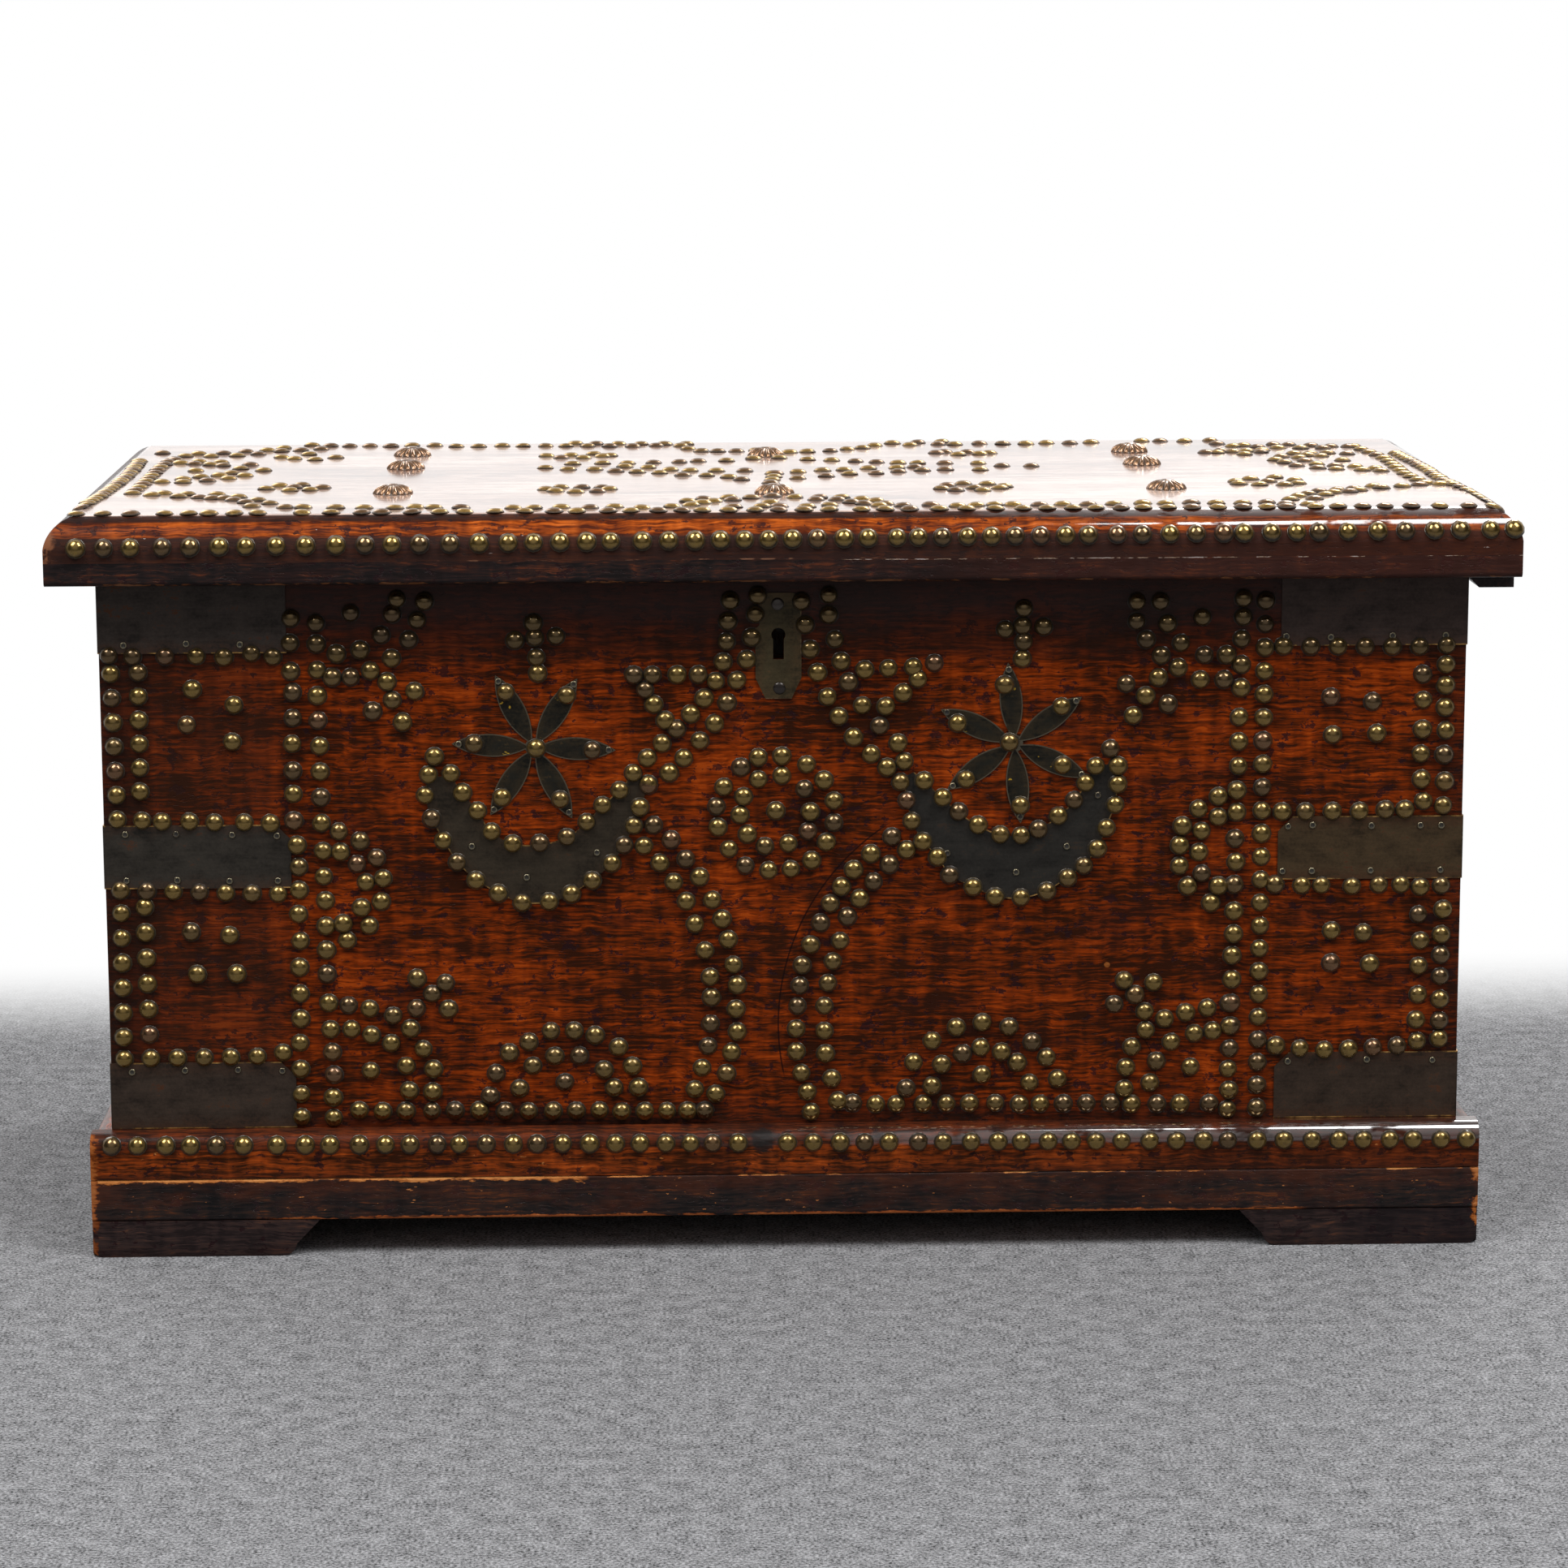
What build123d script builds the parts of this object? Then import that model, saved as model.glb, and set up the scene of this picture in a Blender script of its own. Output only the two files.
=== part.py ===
from build123d import *
import math
import os

# A studded dowry chest of teak and brass: a boarded carcase on a moulded plinth with bracket
# feet, a thumb-moulded lid on strap hinges, corner straps, a chest lock and drop handles.
# Millimetres. +Z up, +X to the right of someone facing the chest, +Y to the back.
# The origin is the bottom centre of the whole chest.

os.makedirs("parts", exist_ok=True)

# ---------------------------------------------------------------- driving dimensions
# carcase
body_width = 1100.0
body_depth = 500.0
board_height = 506.5
front_thickness = 22.0
back_thickness = 20.0
end_thickness = 22.0
bottom_thickness = 16.0
bottom_planks = 3

# plinth and feet
foot_height = 30.0
foot_length_left = 185.0
foot_length_right = 196.0
foot_return = 150.0
foot_slope = 19.0
foot_slope_drop = 20.0
foot_toe = 12.0
foot_corner_round = 9.0
rail_height = 35.0
rail_width = 58.0
rail_edge_round = 2.5
moulding_height = 37.0
moulding_nose_radius = 12.0
plinth_front_proud = 22.0
plinth_side_proud = 16.5

# lid
lid_front_overhang = 38.0
lid_back_overhang = 22.0
lid_side_overhang = 37.0
lid_thickness = 36.0
lid_seat_gap = 0.2
thumb_inset = 24.0
thumb_land = 3.0
lid_plank_joint_from_front = 318.0
strip_height = 18.5
strip_body_gap = 2.0
strip_edge_round = 4.0
batten_body_gap = 3.0
batten_drop_left = 17.0
batten_drop_right = 31.0
batten_chamfer = 6.0
rosette_radius = 16.8
rosette_shoulder_radius = 14.0
rosette_shoulder_height = 3.5
rosette_crown_radius = 4.8
rosette_height = 6.5
rosette_button_height = 1.5
rosette_button_taper = 0.8
rosette_lobes = 12
rosette_x = 320.0
rosette_from_front = 164.0
rosette_middle_from_back = 204.0
rosette_from_back = 98.0
rosette_centre_from_front = 150.0
rosette_centre_from_back = 116.0

# brass sheet work on the front
sheet_thickness = 1.2
plate_thickness = 1.0
strap_leg_front = 150.0
strap_leg_side = 112.0
strap_corner_clip = 12.0
strap_bend_radius = 2.0
strap_height_top = 77.0
strap_height_middle = 52.0
strap_height_bottom = 55.0
strap_middle_below_centre = 8.7
strap_edge_gap = 0.4
crescent_outer_radius = 88.0
crescent_inner_radius = 63.0
crescent_lift = 24.0
crescent_horn_rise = 25.0
crescent_horn_tilt = 6.0
crescent_below_rim = 195.5
crescent_x_left = -203.0
crescent_x_right = 185.0
petal_length = 66.0
petal_width = 18.5
petal_root = 3.0
flower_boss_radius = 7.0
flower_below_rim = 155.5
flower_turn_left = -2.7
flower_turn_right = 34.7

# keyhole and its plate
keyhole_x = -5.5
keyhole_below_rim = 65.5
keyhole_radius = 5.6
keyhole_slot_width = 8.6
keyhole_slot_drop = 20.0
escutcheon_width = 37.0
escutcheon_above = 34.0
escutcheon_below = 52.0
escutcheon_chamfer = 8.0
escutcheon_chamfer_rise = 17.0
escutcheon_notch_radius = 4.5
escutcheon_notch_above = 10.0
escutcheon_head_round = 9.0

# chest lock
lock_case_width = 100.0
lock_case_height = 90.0
lock_case_depth = 20.0
lock_case_wall = 1.6
lock_case_below_rim = 3.2
bolt_length = 42.0
bolt_foot_height = 5.0
bolt_height = 10.0
bolt_thickness = 4.0
bolt_throw = 12.0
bolt_fit = 0.15
bolt_below_rim = 16.5
bolt_nose_gap = 2.0
bolt_tail_height = 26.0
bolt_tail_gap = 1.0
bolt_talon_radius = 2.5
bolt_talon_behind_keyhole = 10.0
guide_width = 8.0
guide_wall = 3.0
guide_behind_nose = 16.0
staple_thickness = 4.0
staple_cheek = 3.0
staple_clearance = 0.5
staple_slot_gap = 1.6
staple_plate_length = 52.0
staple_plate_width = 18.0
staple_plate_thickness = 2.0
key_pin_radius = 2.0
key_pin_length = 12.0

# hinges
hinge_x = 330.0
hinge_barrel_radius = 4.5
hinge_pin_radius = 2.5
hinge_pin_fit = 0.05
hinge_pin_end = 1.5
hinge_axis_behind_back = 5.0
hinge_leaf_thickness = 2.0
hinge_leaf_width = 60.0
hinge_leaf_height = 92.0
hinge_leaf_tip = 14.0
hinge_centre_knuckle = 24.0
hinge_knuckle_gap = 0.5
hinge_strap_length = 168.0
hinge_strap_head_width = 38.0
hinge_strap_head_length = 44.0
hinge_bed_gap = 0.1
hinge_notch_gap = 1.0

# drop handles on the ends
handle_below_rim = 226.5
handle_post_spacing = 104.0
handle_post_width = 9.0
handle_post_radius = 7.5
handle_axis_out = 15.0
handle_rod_radius = 4.0
handle_fit = 0.05
handle_bar_radius = 4.5
handle_bar_sides = 8
handle_leg_inset = 12.0
handle_drop = 52.0
handle_elbow_cut = 4.0
handle_corner_cut = 12.0
handle_grip_radius = 6.5
handle_grip_bead = 0.6
handle_grip_length = 46.0
handle_head_radius = 6.0
handle_head = 2.5
handle_head_gap = 0.5
handle_plate_length = 142.0
handle_plate_height = 40.0
handle_plate_thickness = 2.0
handle_plate_end_radius = 12.0

# open till inside the left end
till_width = 130.0
till_floor_below_rim = 150.0
till_front_below_rim = 24.0
till_board = 10.0

# ---------------------------------------------------------------- derived places
overall_depth = lid_front_overhang + body_depth + lid_back_overhang
lid_width = body_width + 2 * lid_side_overhang
lid_front_y = -overall_depth / 2
lid_back_y = overall_depth / 2
front_y = lid_front_y + lid_front_overhang
back_y = lid_back_y - lid_back_overhang
front_inner_y = front_y + front_thickness
back_inner_y = back_y - back_thickness
middle_y = (front_y + back_y) / 2
end_x = body_width / 2
end_inner_x = end_x - end_thickness
plinth_x = end_x + plinth_side_proud
plinth_front_y = front_y - plinth_front_proud
rail_top = foot_height + rail_height
rim_z = rail_top + board_height
moulding_top = rail_top + moulding_height
lid_underside = rim_z + lid_seat_gap
lid_top = lid_underside + lid_thickness
axis_y = back_y + hinge_axis_behind_back
axis_z = rim_z + lid_seat_gap / 2
keyhole_z = rim_z - keyhole_below_rim
crescent_z = rim_z - crescent_below_rim
flower_z = rim_z - flower_below_rim
handle_z = rim_z - handle_below_rim
strap_middle_z = (rim_z + moulding_top - strap_height_middle) / 2 - strap_middle_below_centre
strap_levels = {
    "top": (rim_z - strap_edge_gap - strap_height_top, strap_height_top),
    "middle": (strap_middle_z, strap_height_middle),
    "bottom": (moulding_top + strap_edge_gap, strap_height_bottom),
}


def block(x0, x1, y0, y1, z0, z1):
    """Box between two corners."""
    size = Box(x1 - x0, y1 - y0, z1 - z0, align=(Align.MIN, Align.MIN, Align.MIN))
    return Pos(x0, y0, z0) * size


def rod(start, end, radius):
    """Round bar between two points."""
    run = Vector(*end) - Vector(*start)
    return Plane(start, z_dir=run) * Cylinder(
        radius, run.length, align=(Align.CENTER, Align.CENTER, Align.MIN)
    )


def face_of(points):
    """Flat face inside a closed ring of straight edges, in its own plane."""
    return make_face(Polyline(*points, close=True))


def on_front(sketch, thickness, x=0.0, z=0.0):
    """Sheet of a sketch lying on the front board, growing towards the viewer."""
    place = Plane((x, front_y, z), x_dir=(1, 0, 0), z_dir=(0, -1, 0))
    return extrude(place * sketch, amount=thickness)


def write(name, *solids):
    """Write one node: a single solid, or a group of separate like solids."""
    shape = solids[0] if len(solids) == 1 else Compound(children=list(solids))
    shape.label = name
    export_step(shape, f"parts/{name}.step")


# ---------------------------------------------------------------- carcase
def keyhole_sketch():
    """Round head with a straight slot under it, about the centre of the round."""
    slot = Pos(0, -keyhole_slot_drop / 2) * Rectangle(keyhole_slot_width, keyhole_slot_drop)
    return Circle(keyhole_radius) + slot


def front_board():
    board = block(-end_x, end_x, front_y, front_inner_y, rail_top, rim_z)
    hole = on_front(keyhole_sketch(), -front_thickness, keyhole_x, keyhole_z)
    return board - hole


def back_board():
    return block(-end_x, end_x, back_inner_y, back_y, rail_top, rim_z)


def end_board(side):
    board = block(end_inner_x, end_x, front_inner_y, back_inner_y, rail_top, rim_z)
    return board if side > 0 else mirror(board, Plane.YZ)


def bottom_plank(index):
    width = (back_inner_y - front_inner_y) / bottom_planks
    near = front_inner_y + index * width
    return block(-end_inner_x, end_inner_x, near, near + width, rail_top, rail_top + bottom_thickness)


def till_front():
    far = -end_inner_x + till_width
    floor = rim_z - till_floor_below_rim
    return block(far - till_board, far, front_inner_y, back_inner_y, floor, rim_z - till_front_below_rim)


def till_floor():
    far = -end_inner_x + till_width - till_board
    floor = rim_z - till_floor_below_rim
    return block(-end_inner_x, far, front_inner_y, back_inner_y, floor, floor + till_board)


# ---------------------------------------------------------------- plinth
def nosed_section(proud):
    """Moulding section: flat face with a bull-nosed upper edge, wall side at local x = 0."""
    nose = min(moulding_nose_radius, proud * 0.95, moulding_height * 0.9)
    outline = Polyline(
        (0, moulding_height), (0, 0), (-proud, 0), (-proud, moulding_height - nose)
    )
    turn = RadiusArc(outline @ 1, (-proud + nose, moulding_height), nose)
    return make_face([outline, turn, Line(turn @ 1, outline @ 0)])


def plinth_moulding_front():
    place = Plane((-plinth_x, front_y, rail_top), x_dir=(0, 1, 0), z_dir=(1, 0, 0))
    return extrude(place * nosed_section(plinth_front_proud), amount=2 * plinth_x)


def plinth_moulding_side(side):
    place = Plane((-end_x, front_y, rail_top), x_dir=(1, 0, 0), z_dir=(0, -1, 0))
    strip = extrude(place * nosed_section(plinth_side_proud), amount=-body_depth)
    return strip if side < 0 else mirror(strip, Plane.YZ)


def base_rail_front():
    rail = block(-plinth_x, plinth_x, plinth_front_y, plinth_front_y + rail_width, foot_height, rail_top)
    outer = rail.faces().sort_by(Axis.Y)[0].edges().filter_by(Axis.X)
    return fillet(outer, rail_edge_round)


def base_rail_back():
    return block(-plinth_x, plinth_x, back_y - rail_width, back_y, foot_height, rail_top)


def base_rail_side(side):
    near = plinth_front_y + rail_width
    rail = block(-plinth_x, -plinth_x + rail_width, near, back_y - rail_width, foot_height, rail_top)
    outer = rail.faces().sort_by(Axis.X)[0].edges().filter_by(Axis.Y)
    rail = fillet(outer, rail_edge_round)
    return rail if side < 0 else mirror(rail, Plane.YZ)


def bracket_arm(length, width):
    """One arm of a bracket foot, running from the origin along +X, with a cut-away inner end."""
    knee = (length - foot_slope, foot_height - foot_slope_drop)
    toe = (knee[0] - foot_toe, 0.0)
    top = Polyline((0, foot_corner_round), (0, foot_height), (length, foot_height), knee)
    instep = ThreePointArc(knee, ((knee[0] + toe[0]) / 2 + 1.6, 2.6), toe)
    sole = Line(toe, (foot_corner_round, 0))
    heel = RadiusArc(sole @ 1, top @ 0, foot_corner_round)
    face = make_face([top, instep, sole, heel])
    return extrude(Plane.XZ * face, amount=-width)


def bracket_foot(x_side, y_side, length):
    """L-shaped bracket foot under one corner: an arm along the front or back, one along the end."""
    along = bracket_arm(length, rail_width)
    back_arm = mirror(bracket_arm(foot_return, rail_width), Plane((0, 0, 0), z_dir=(1, -1, 0)))
    corner = block(0, rail_width, 0, rail_width, 0, foot_height)
    heel_cut = fillet(corner.edges().filter_by(Axis.Z).sort_by(lambda e: e.center().length)[0], 2.0)
    foot = along + back_arm
    foot = foot & (block(rail_width, length, 0, foot_return, 0, foot_height) + heel_cut
                   + block(0, rail_width, rail_width, foot_return, 0, foot_height))
    near = plinth_front_y if y_side < 0 else back_y
    if x_side > 0:
        foot = mirror(foot, Plane.YZ)
    if y_side > 0:
        foot = mirror(foot, Plane.XZ)
    return Pos(x_side * plinth_x, near, 0) * foot


# ---------------------------------------------------------------- lid
def thumb(edge, towards):
    """Convex moulded edge from its outer land up to the lid's top, in a section's plane."""
    rise = lid_thickness - thumb_land
    mid = math.radians(45)
    start = (edge, lid_underside + thumb_land)
    half = (edge + towards * thumb_inset * (1 - math.cos(mid)), start[1] + rise * math.sin(mid))
    return ThreePointArc(start, half, (edge + towards * thumb_inset, lid_top))


def lid_slab():
    """Whole lid top before it is parted into planks: two moulded sections crossed."""
    front = thumb(lid_front_y, 1)
    across = make_face([
        front,
        Polyline(front @ 1, (lid_back_y, lid_top), (lid_back_y, lid_underside),
                 (lid_front_y, lid_underside), front @ 0),
    ])
    left = thumb(-lid_width / 2, 1)
    right = thumb(lid_width / 2, -1)
    along = make_face([
        left,
        Line(left @ 1, right @ 1),
        right,
        Polyline(right @ 0, (lid_width / 2, lid_underside), (-lid_width / 2, lid_underside), left @ 0),
    ])
    run = extrude(Plane.YZ * across, amount=lid_width / 2, both=True)
    end_cut = extrude(Plane.XZ * along, amount=overall_depth / 2, both=True)
    return run & end_cut


def hinge_room(x):
    """Room in the lid's underside for one hinge: the strap's bed and the knuckles' notch."""
    half = hinge_leaf_width / 2 + hinge_pin_end + hinge_notch_gap
    reach = hinge_barrel_radius + hinge_notch_gap
    notch = block(x - half, x + half, axis_y - reach, lid_back_y, lid_underside, axis_z + reach)
    return notch + hinge_strap_plate(x, hinge_bed_gap)


def lid_plank(which):
    joint_y = lid_front_y + lid_plank_joint_from_front
    slab = lid_slab()
    if which == "front":
        keep = block(-lid_width, lid_width, lid_front_y, joint_y, lid_underside, lid_top)
    else:
        keep = block(-lid_width, lid_width, joint_y, lid_back_y, lid_underside, lid_top)
    plank = slab & keep
    for x in (-hinge_x, hinge_x):
        plank = plank - hinge_room(x)
    return plank


def lid_front_strip():
    inner = front_y - strip_body_gap
    low = lid_underside - strip_height
    strip = block(-lid_width / 2, lid_width / 2, lid_front_y, inner, low, lid_underside)
    nose = strip.faces().sort_by(Axis.Y)[0].edges().filter_by(Axis.X).sort_by(Axis.Z)[0]
    return fillet(nose, strip_edge_round)


def lid_batten(side):
    near = front_y - strip_body_gap
    drop = batten_drop_left if side < 0 else batten_drop_right
    low = lid_underside - drop
    inner = end_x + batten_body_gap
    batten = block(inner, lid_width / 2, near, lid_back_y, low, lid_underside)
    inner_arris = batten.faces().sort_by(Axis.Z)[0].edges().filter_by(Axis.Y).sort_by(Axis.X)[0]
    batten = chamfer(inner_arris, batten_chamfer)
    return batten if side > 0 else mirror(batten, Plane.YZ)


def lobed_step(radius_low, radius_high, height, z):
    """Tapered twelve-sided step of a rosette, standing on height z."""
    shrink = (radius_low - radius_high) * math.cos(math.pi / rosette_lobes)
    taper = math.degrees(math.atan(shrink / height))
    return extrude(Pos(0, 0, z) * RegularPolygon(radius_low, rosette_lobes), amount=height, taper=taper)


def lid_rosette(x, y):
    """Large lobed nail: two rings of flutes rising to a small button on the crown."""
    crown = rosette_height - rosette_shoulder_height
    button_radius = rosette_crown_radius * rosette_button_taper
    nail = lobed_step(rosette_radius, rosette_shoulder_radius, rosette_shoulder_height, 0)
    nail = nail + lobed_step(rosette_shoulder_radius, rosette_crown_radius, crown, rosette_shoulder_height)
    nail = nail + lobed_step(rosette_crown_radius, button_radius, rosette_button_height, rosette_height)
    return Pos(x, y, lid_top) * nail


# ---------------------------------------------------------------- brass sheet work
def corner_strap(side, level):
    """Sheet strap bent round a front corner, with its front end clipped on the slant."""
    low, height = strap_levels[level]
    outer = block(-end_x - sheet_thickness, -end_x + strap_leg_front,
                  front_y - sheet_thickness, front_y + strap_leg_side, low, low + height)
    bend = outer.edges().filter_by(Axis.Z).sort_by(lambda e: e.center().X + e.center().Y)[0]
    outer = fillet(bend, strap_bend_radius)
    strap = outer - block(-end_x, end_x, front_y, back_y, low, low + height)
    clip = face_of([(0, 0), (strap_corner_clip, 0), (0, strap_corner_clip)])
    place = Plane((-end_x + strap_leg_front, front_y, low + height), x_dir=(-1, 0, 0), z_dir=(0, 1, 0))
    strap = strap - extrude(place * mirror(clip, Plane.XZ), amount=-2 * sheet_thickness, both=True)
    return strap if side < 0 else mirror(strap, Plane.YZ)


def crescent(x):
    """Sheet crescent lying on its back, its horns cut square, the horn nearer the lock lower."""
    moon = Circle(crescent_outer_radius) - Pos(0, crescent_lift) * Circle(crescent_inner_radius)
    tilt = -crescent_horn_tilt if x < 0 else crescent_horn_tilt
    below_horns = Pos(0, -crescent_outer_radius) * Rectangle(
        4 * crescent_outer_radius, 2 * crescent_outer_radius)
    sheet = moon & Pos(0, crescent_horn_rise) * Rot(0, 0, tilt) * below_horns
    return on_front(sheet, plate_thickness, x, crescent_z)


def petal():
    """Pointed leaf along +Y from near the flower's centre."""
    tip = (0, petal_length)
    root = (0, petal_root)
    half = petal_width / 2
    middle = (petal_length + petal_root) / 2
    right = ThreePointArc(root, (half, middle), tip)
    left = ThreePointArc(tip, (-half, middle), root)
    return make_face([right, left])


def flower(x, turn):
    """Six pointed petals and a round boss, cut from one sheet."""
    sheet = Circle(flower_boss_radius)
    for index in range(6):
        sheet = sheet + Rot(0, 0, turn + 60 * index - 90) * petal()
    return on_front(sheet, plate_thickness, x, flower_z)


def escutcheon():
    """Keyhole plate: chamfered foot, straight cheeks, a notch each side under a rounded head."""
    half = escutcheon_width / 2
    foot = half - escutcheon_chamfer
    outline = face_of([
        (-half, escutcheon_above), (-half, -escutcheon_below + escutcheon_chamfer_rise),
        (-foot, -escutcheon_below), (foot, -escutcheon_below),
        (half, -escutcheon_below + escutcheon_chamfer_rise), (half, escutcheon_above),
    ])
    outline = fillet(outline.vertices().sort_by(Axis.Y)[-2:], escutcheon_head_round)
    for side in (-1, 1):
        outline = outline - Pos(side * (half + 1), escutcheon_notch_above) * Circle(escutcheon_notch_radius)
    plate = outline - keyhole_sketch()
    return on_front(plate, sheet_thickness, keyhole_x, keyhole_z)


# ---------------------------------------------------------------- lock
case_top = rim_z - lock_case_below_rim
case_low = case_top - lock_case_height
case_back_y = front_inner_y + lock_case_depth
bolt_z = rim_z - bolt_below_rim
bolt_y = front_inner_y + (lock_case_depth - lock_case_wall) / 2
staple_eye_width = bolt_thickness + 2 * staple_clearance
staple_width = staple_eye_width + 2 * staple_cheek
staple_eye_height = bolt_height + 2 * staple_clearance
bolt_nose_x = keyhole_x - staple_thickness / 2 - bolt_nose_gap
tail_guide_x = bolt_nose_x - guide_behind_nose
far_guide_x = bolt_nose_x + bolt_throw


def bolt_guide(x0, x1):
    """Lug riveted to the case that carries the bolt through a rectangular hole."""
    reach = bolt_thickness / 2 + bolt_fit
    rise = bolt_height / 2 + bolt_fit
    lug = block(x0, x1, bolt_y - reach - guide_wall, case_back_y - lock_case_wall,
                bolt_z - rise - guide_wall, bolt_z + rise + guide_wall)
    return lug - block(x0, x1, bolt_y - reach, bolt_y + reach, bolt_z - rise, bolt_z + rise)


def lock_case():
    """Sheet-iron case open to the front board, with the bolt's guides and the key's pin."""
    half = lock_case_width / 2
    wall = lock_case_wall
    shell = block(keyhole_x - half, keyhole_x + half, front_inner_y, case_back_y, case_low, case_top)
    shell = shell - block(keyhole_x - half + wall, keyhole_x + half - wall,
                          front_inner_y, case_back_y - wall, case_low + wall, case_top - wall)
    gap = staple_slot_gap
    slot_half = staple_thickness / 2 + gap
    slot_reach = staple_width / 2 + gap
    slot = block(keyhole_x - slot_half, keyhole_x + slot_half,
                 bolt_y - slot_reach, bolt_y + slot_reach, case_top - wall, case_top)
    key_pin = rod((keyhole_x, case_back_y - wall, keyhole_z),
                  (keyhole_x, case_back_y - wall - key_pin_length, keyhole_z), key_pin_radius)
    case = shell - slot + key_pin
    case = case + bolt_guide(tail_guide_x - guide_width / 2, tail_guide_x + guide_width / 2)
    return case + bolt_guide(far_guide_x - guide_width / 2, far_guide_x + guide_width / 2)


def lock_bolt():
    """Sliding bolt with a tail down to a notched foot that the key's bit pushes."""
    near_y = bolt_y - bolt_thickness / 2
    far_y = bolt_y + bolt_thickness / 2
    tail_far = bolt_nose_x - bolt_length
    tail_near = tail_guide_x - guide_width / 2 - bolt_throw - bolt_tail_gap
    top = bolt_z + bolt_height / 2
    low = top - bolt_height - bolt_tail_height
    bar = block(tail_far, bolt_nose_x, near_y, far_y, top - bolt_height, top)
    tail = block(tail_far, tail_near, near_y, far_y, low, top)
    foot = block(tail_far, keyhole_x, near_y, far_y, low, low + bolt_foot_height)
    talon_x = keyhole_x - bolt_talon_behind_keyhole
    talon = rod((talon_x, near_y - bolt_thickness, low), (talon_x, far_y + bolt_thickness, low),
                bolt_talon_radius)
    return bar + tail + foot - talon


def lock_staple():
    """Catch on the lid: a plate with a hanging eye that the bolt passes through."""
    half = staple_plate_length / 2
    plate_y0 = bolt_y - staple_plate_width / 2
    plate = block(keyhole_x - half, keyhole_x + half, plate_y0, plate_y0 + staple_plate_width,
                  lid_underside - staple_plate_thickness, lid_underside)
    eye_low = bolt_z - staple_eye_height / 2
    tongue = block(keyhole_x - staple_thickness / 2, keyhole_x + staple_thickness / 2,
                   bolt_y - staple_width / 2, bolt_y + staple_width / 2,
                   eye_low - staple_cheek, lid_underside - staple_plate_thickness)
    eye = block(keyhole_x - staple_thickness, keyhole_x + staple_thickness,
                bolt_y - staple_eye_width / 2, bolt_y + staple_eye_width / 2,
                eye_low, eye_low + staple_eye_height)
    return plate + (tongue - eye)


# ---------------------------------------------------------------- hinges
def knuckle(x0, x1, radius=hinge_barrel_radius):
    return rod((x0, axis_y, axis_z), (x1, axis_y, axis_z), radius)


def hinge_bore(x):
    reach = hinge_leaf_width
    return knuckle(x - reach, x + reach, hinge_pin_radius + hinge_pin_fit)


def hinge_body_leaf(x):
    """Leaf on the outside of the back board, with a pointed foot and the two outer knuckles."""
    half = hinge_leaf_width / 2
    low = axis_z - hinge_leaf_height
    shape = face_of([
        (-half, 0), (half, 0), (half, -hinge_leaf_height + hinge_leaf_tip),
        (0, -hinge_leaf_height), (-half, -hinge_leaf_height + hinge_leaf_tip),
    ])
    place = Plane((x, back_y, axis_z), x_dir=(1, 0, 0), z_dir=(0, -1, 0))
    leaf = extrude(place * shape, amount=-hinge_leaf_thickness)
    leaf = leaf + knuckle(x - half, x + half)
    gap = hinge_centre_knuckle / 2 + hinge_knuckle_gap
    leaf = leaf - knuckle(x - gap, x + gap, hinge_barrel_radius + hinge_knuckle_gap)
    return leaf - hinge_bore(x)


def hinge_strap_plate(x, gap=0.0):
    """Flat of the lid's strap, let into the underside of the lid, with a spear-shaped head."""
    half = hinge_centre_knuckle / 2 + gap
    head_half = hinge_strap_head_width / 2 + gap
    tip_y = axis_y - hinge_strap_length - gap
    shoulder_y = tip_y + hinge_strap_head_length / 2
    neck_y = tip_y + hinge_strap_head_length + 2 * gap
    outline = face_of([
        (x - half, axis_y), (x - half, neck_y), (x - head_half, shoulder_y), (x, tip_y),
        (x + head_half, shoulder_y), (x + half, neck_y), (x + half, axis_y),
    ])
    return extrude(Pos(0, 0, lid_underside) * outline, amount=hinge_leaf_thickness)


def hinge_lid_strap(x):
    half = hinge_centre_knuckle / 2
    strap = hinge_strap_plate(x) + knuckle(x - half, x + half)
    return strap - hinge_bore(x)


def hinge_pin(x):
    half = hinge_leaf_width / 2 + hinge_pin_end
    return knuckle(x - half, x + half, hinge_pin_radius)


# ---------------------------------------------------------------- drop handles
handle_x = end_x + handle_axis_out
post_y = handle_post_spacing / 2
leg_y = post_y - handle_leg_inset
head_y = post_y + handle_post_width / 2 + handle_head_gap


def handle_plate(side):
    """Long plate with rounded ends, nailed to the end board under the posts."""
    half = handle_plate_length / 2
    sheet = RectangleRounded(handle_plate_length, handle_plate_height, handle_plate_end_radius)
    for end in (-1, 1):
        sheet = sheet + Pos(end * half, 0) * Circle(handle_plate_end_radius)
    place = Plane((end_x, middle_y, handle_z), x_dir=(0, 1, 0), z_dir=(1, 0, 0))
    plate = extrude(place * sheet, amount=handle_plate_thickness)
    return plate if side > 0 else mirror(plate, Plane.YZ)


def handle_post(side, end):
    """Post with a round eye that the handle's journal turns in."""
    y = middle_y + end * post_y
    half = handle_post_width / 2
    foot_x = end_x + handle_plate_thickness
    eye = rod((handle_x, y - half, handle_z), (handle_x, y + half, handle_z), handle_post_radius)
    stem = block(foot_x, handle_x, y - half, y + half,
                 handle_z - handle_post_radius, handle_z + handle_post_radius)
    bore = rod((handle_x, y - handle_post_width, handle_z), (handle_x, y + handle_post_width, handle_z),
               handle_rod_radius + handle_fit)
    post = eye + stem - bore
    return post if side > 0 else mirror(post, Plane.YZ)


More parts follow.
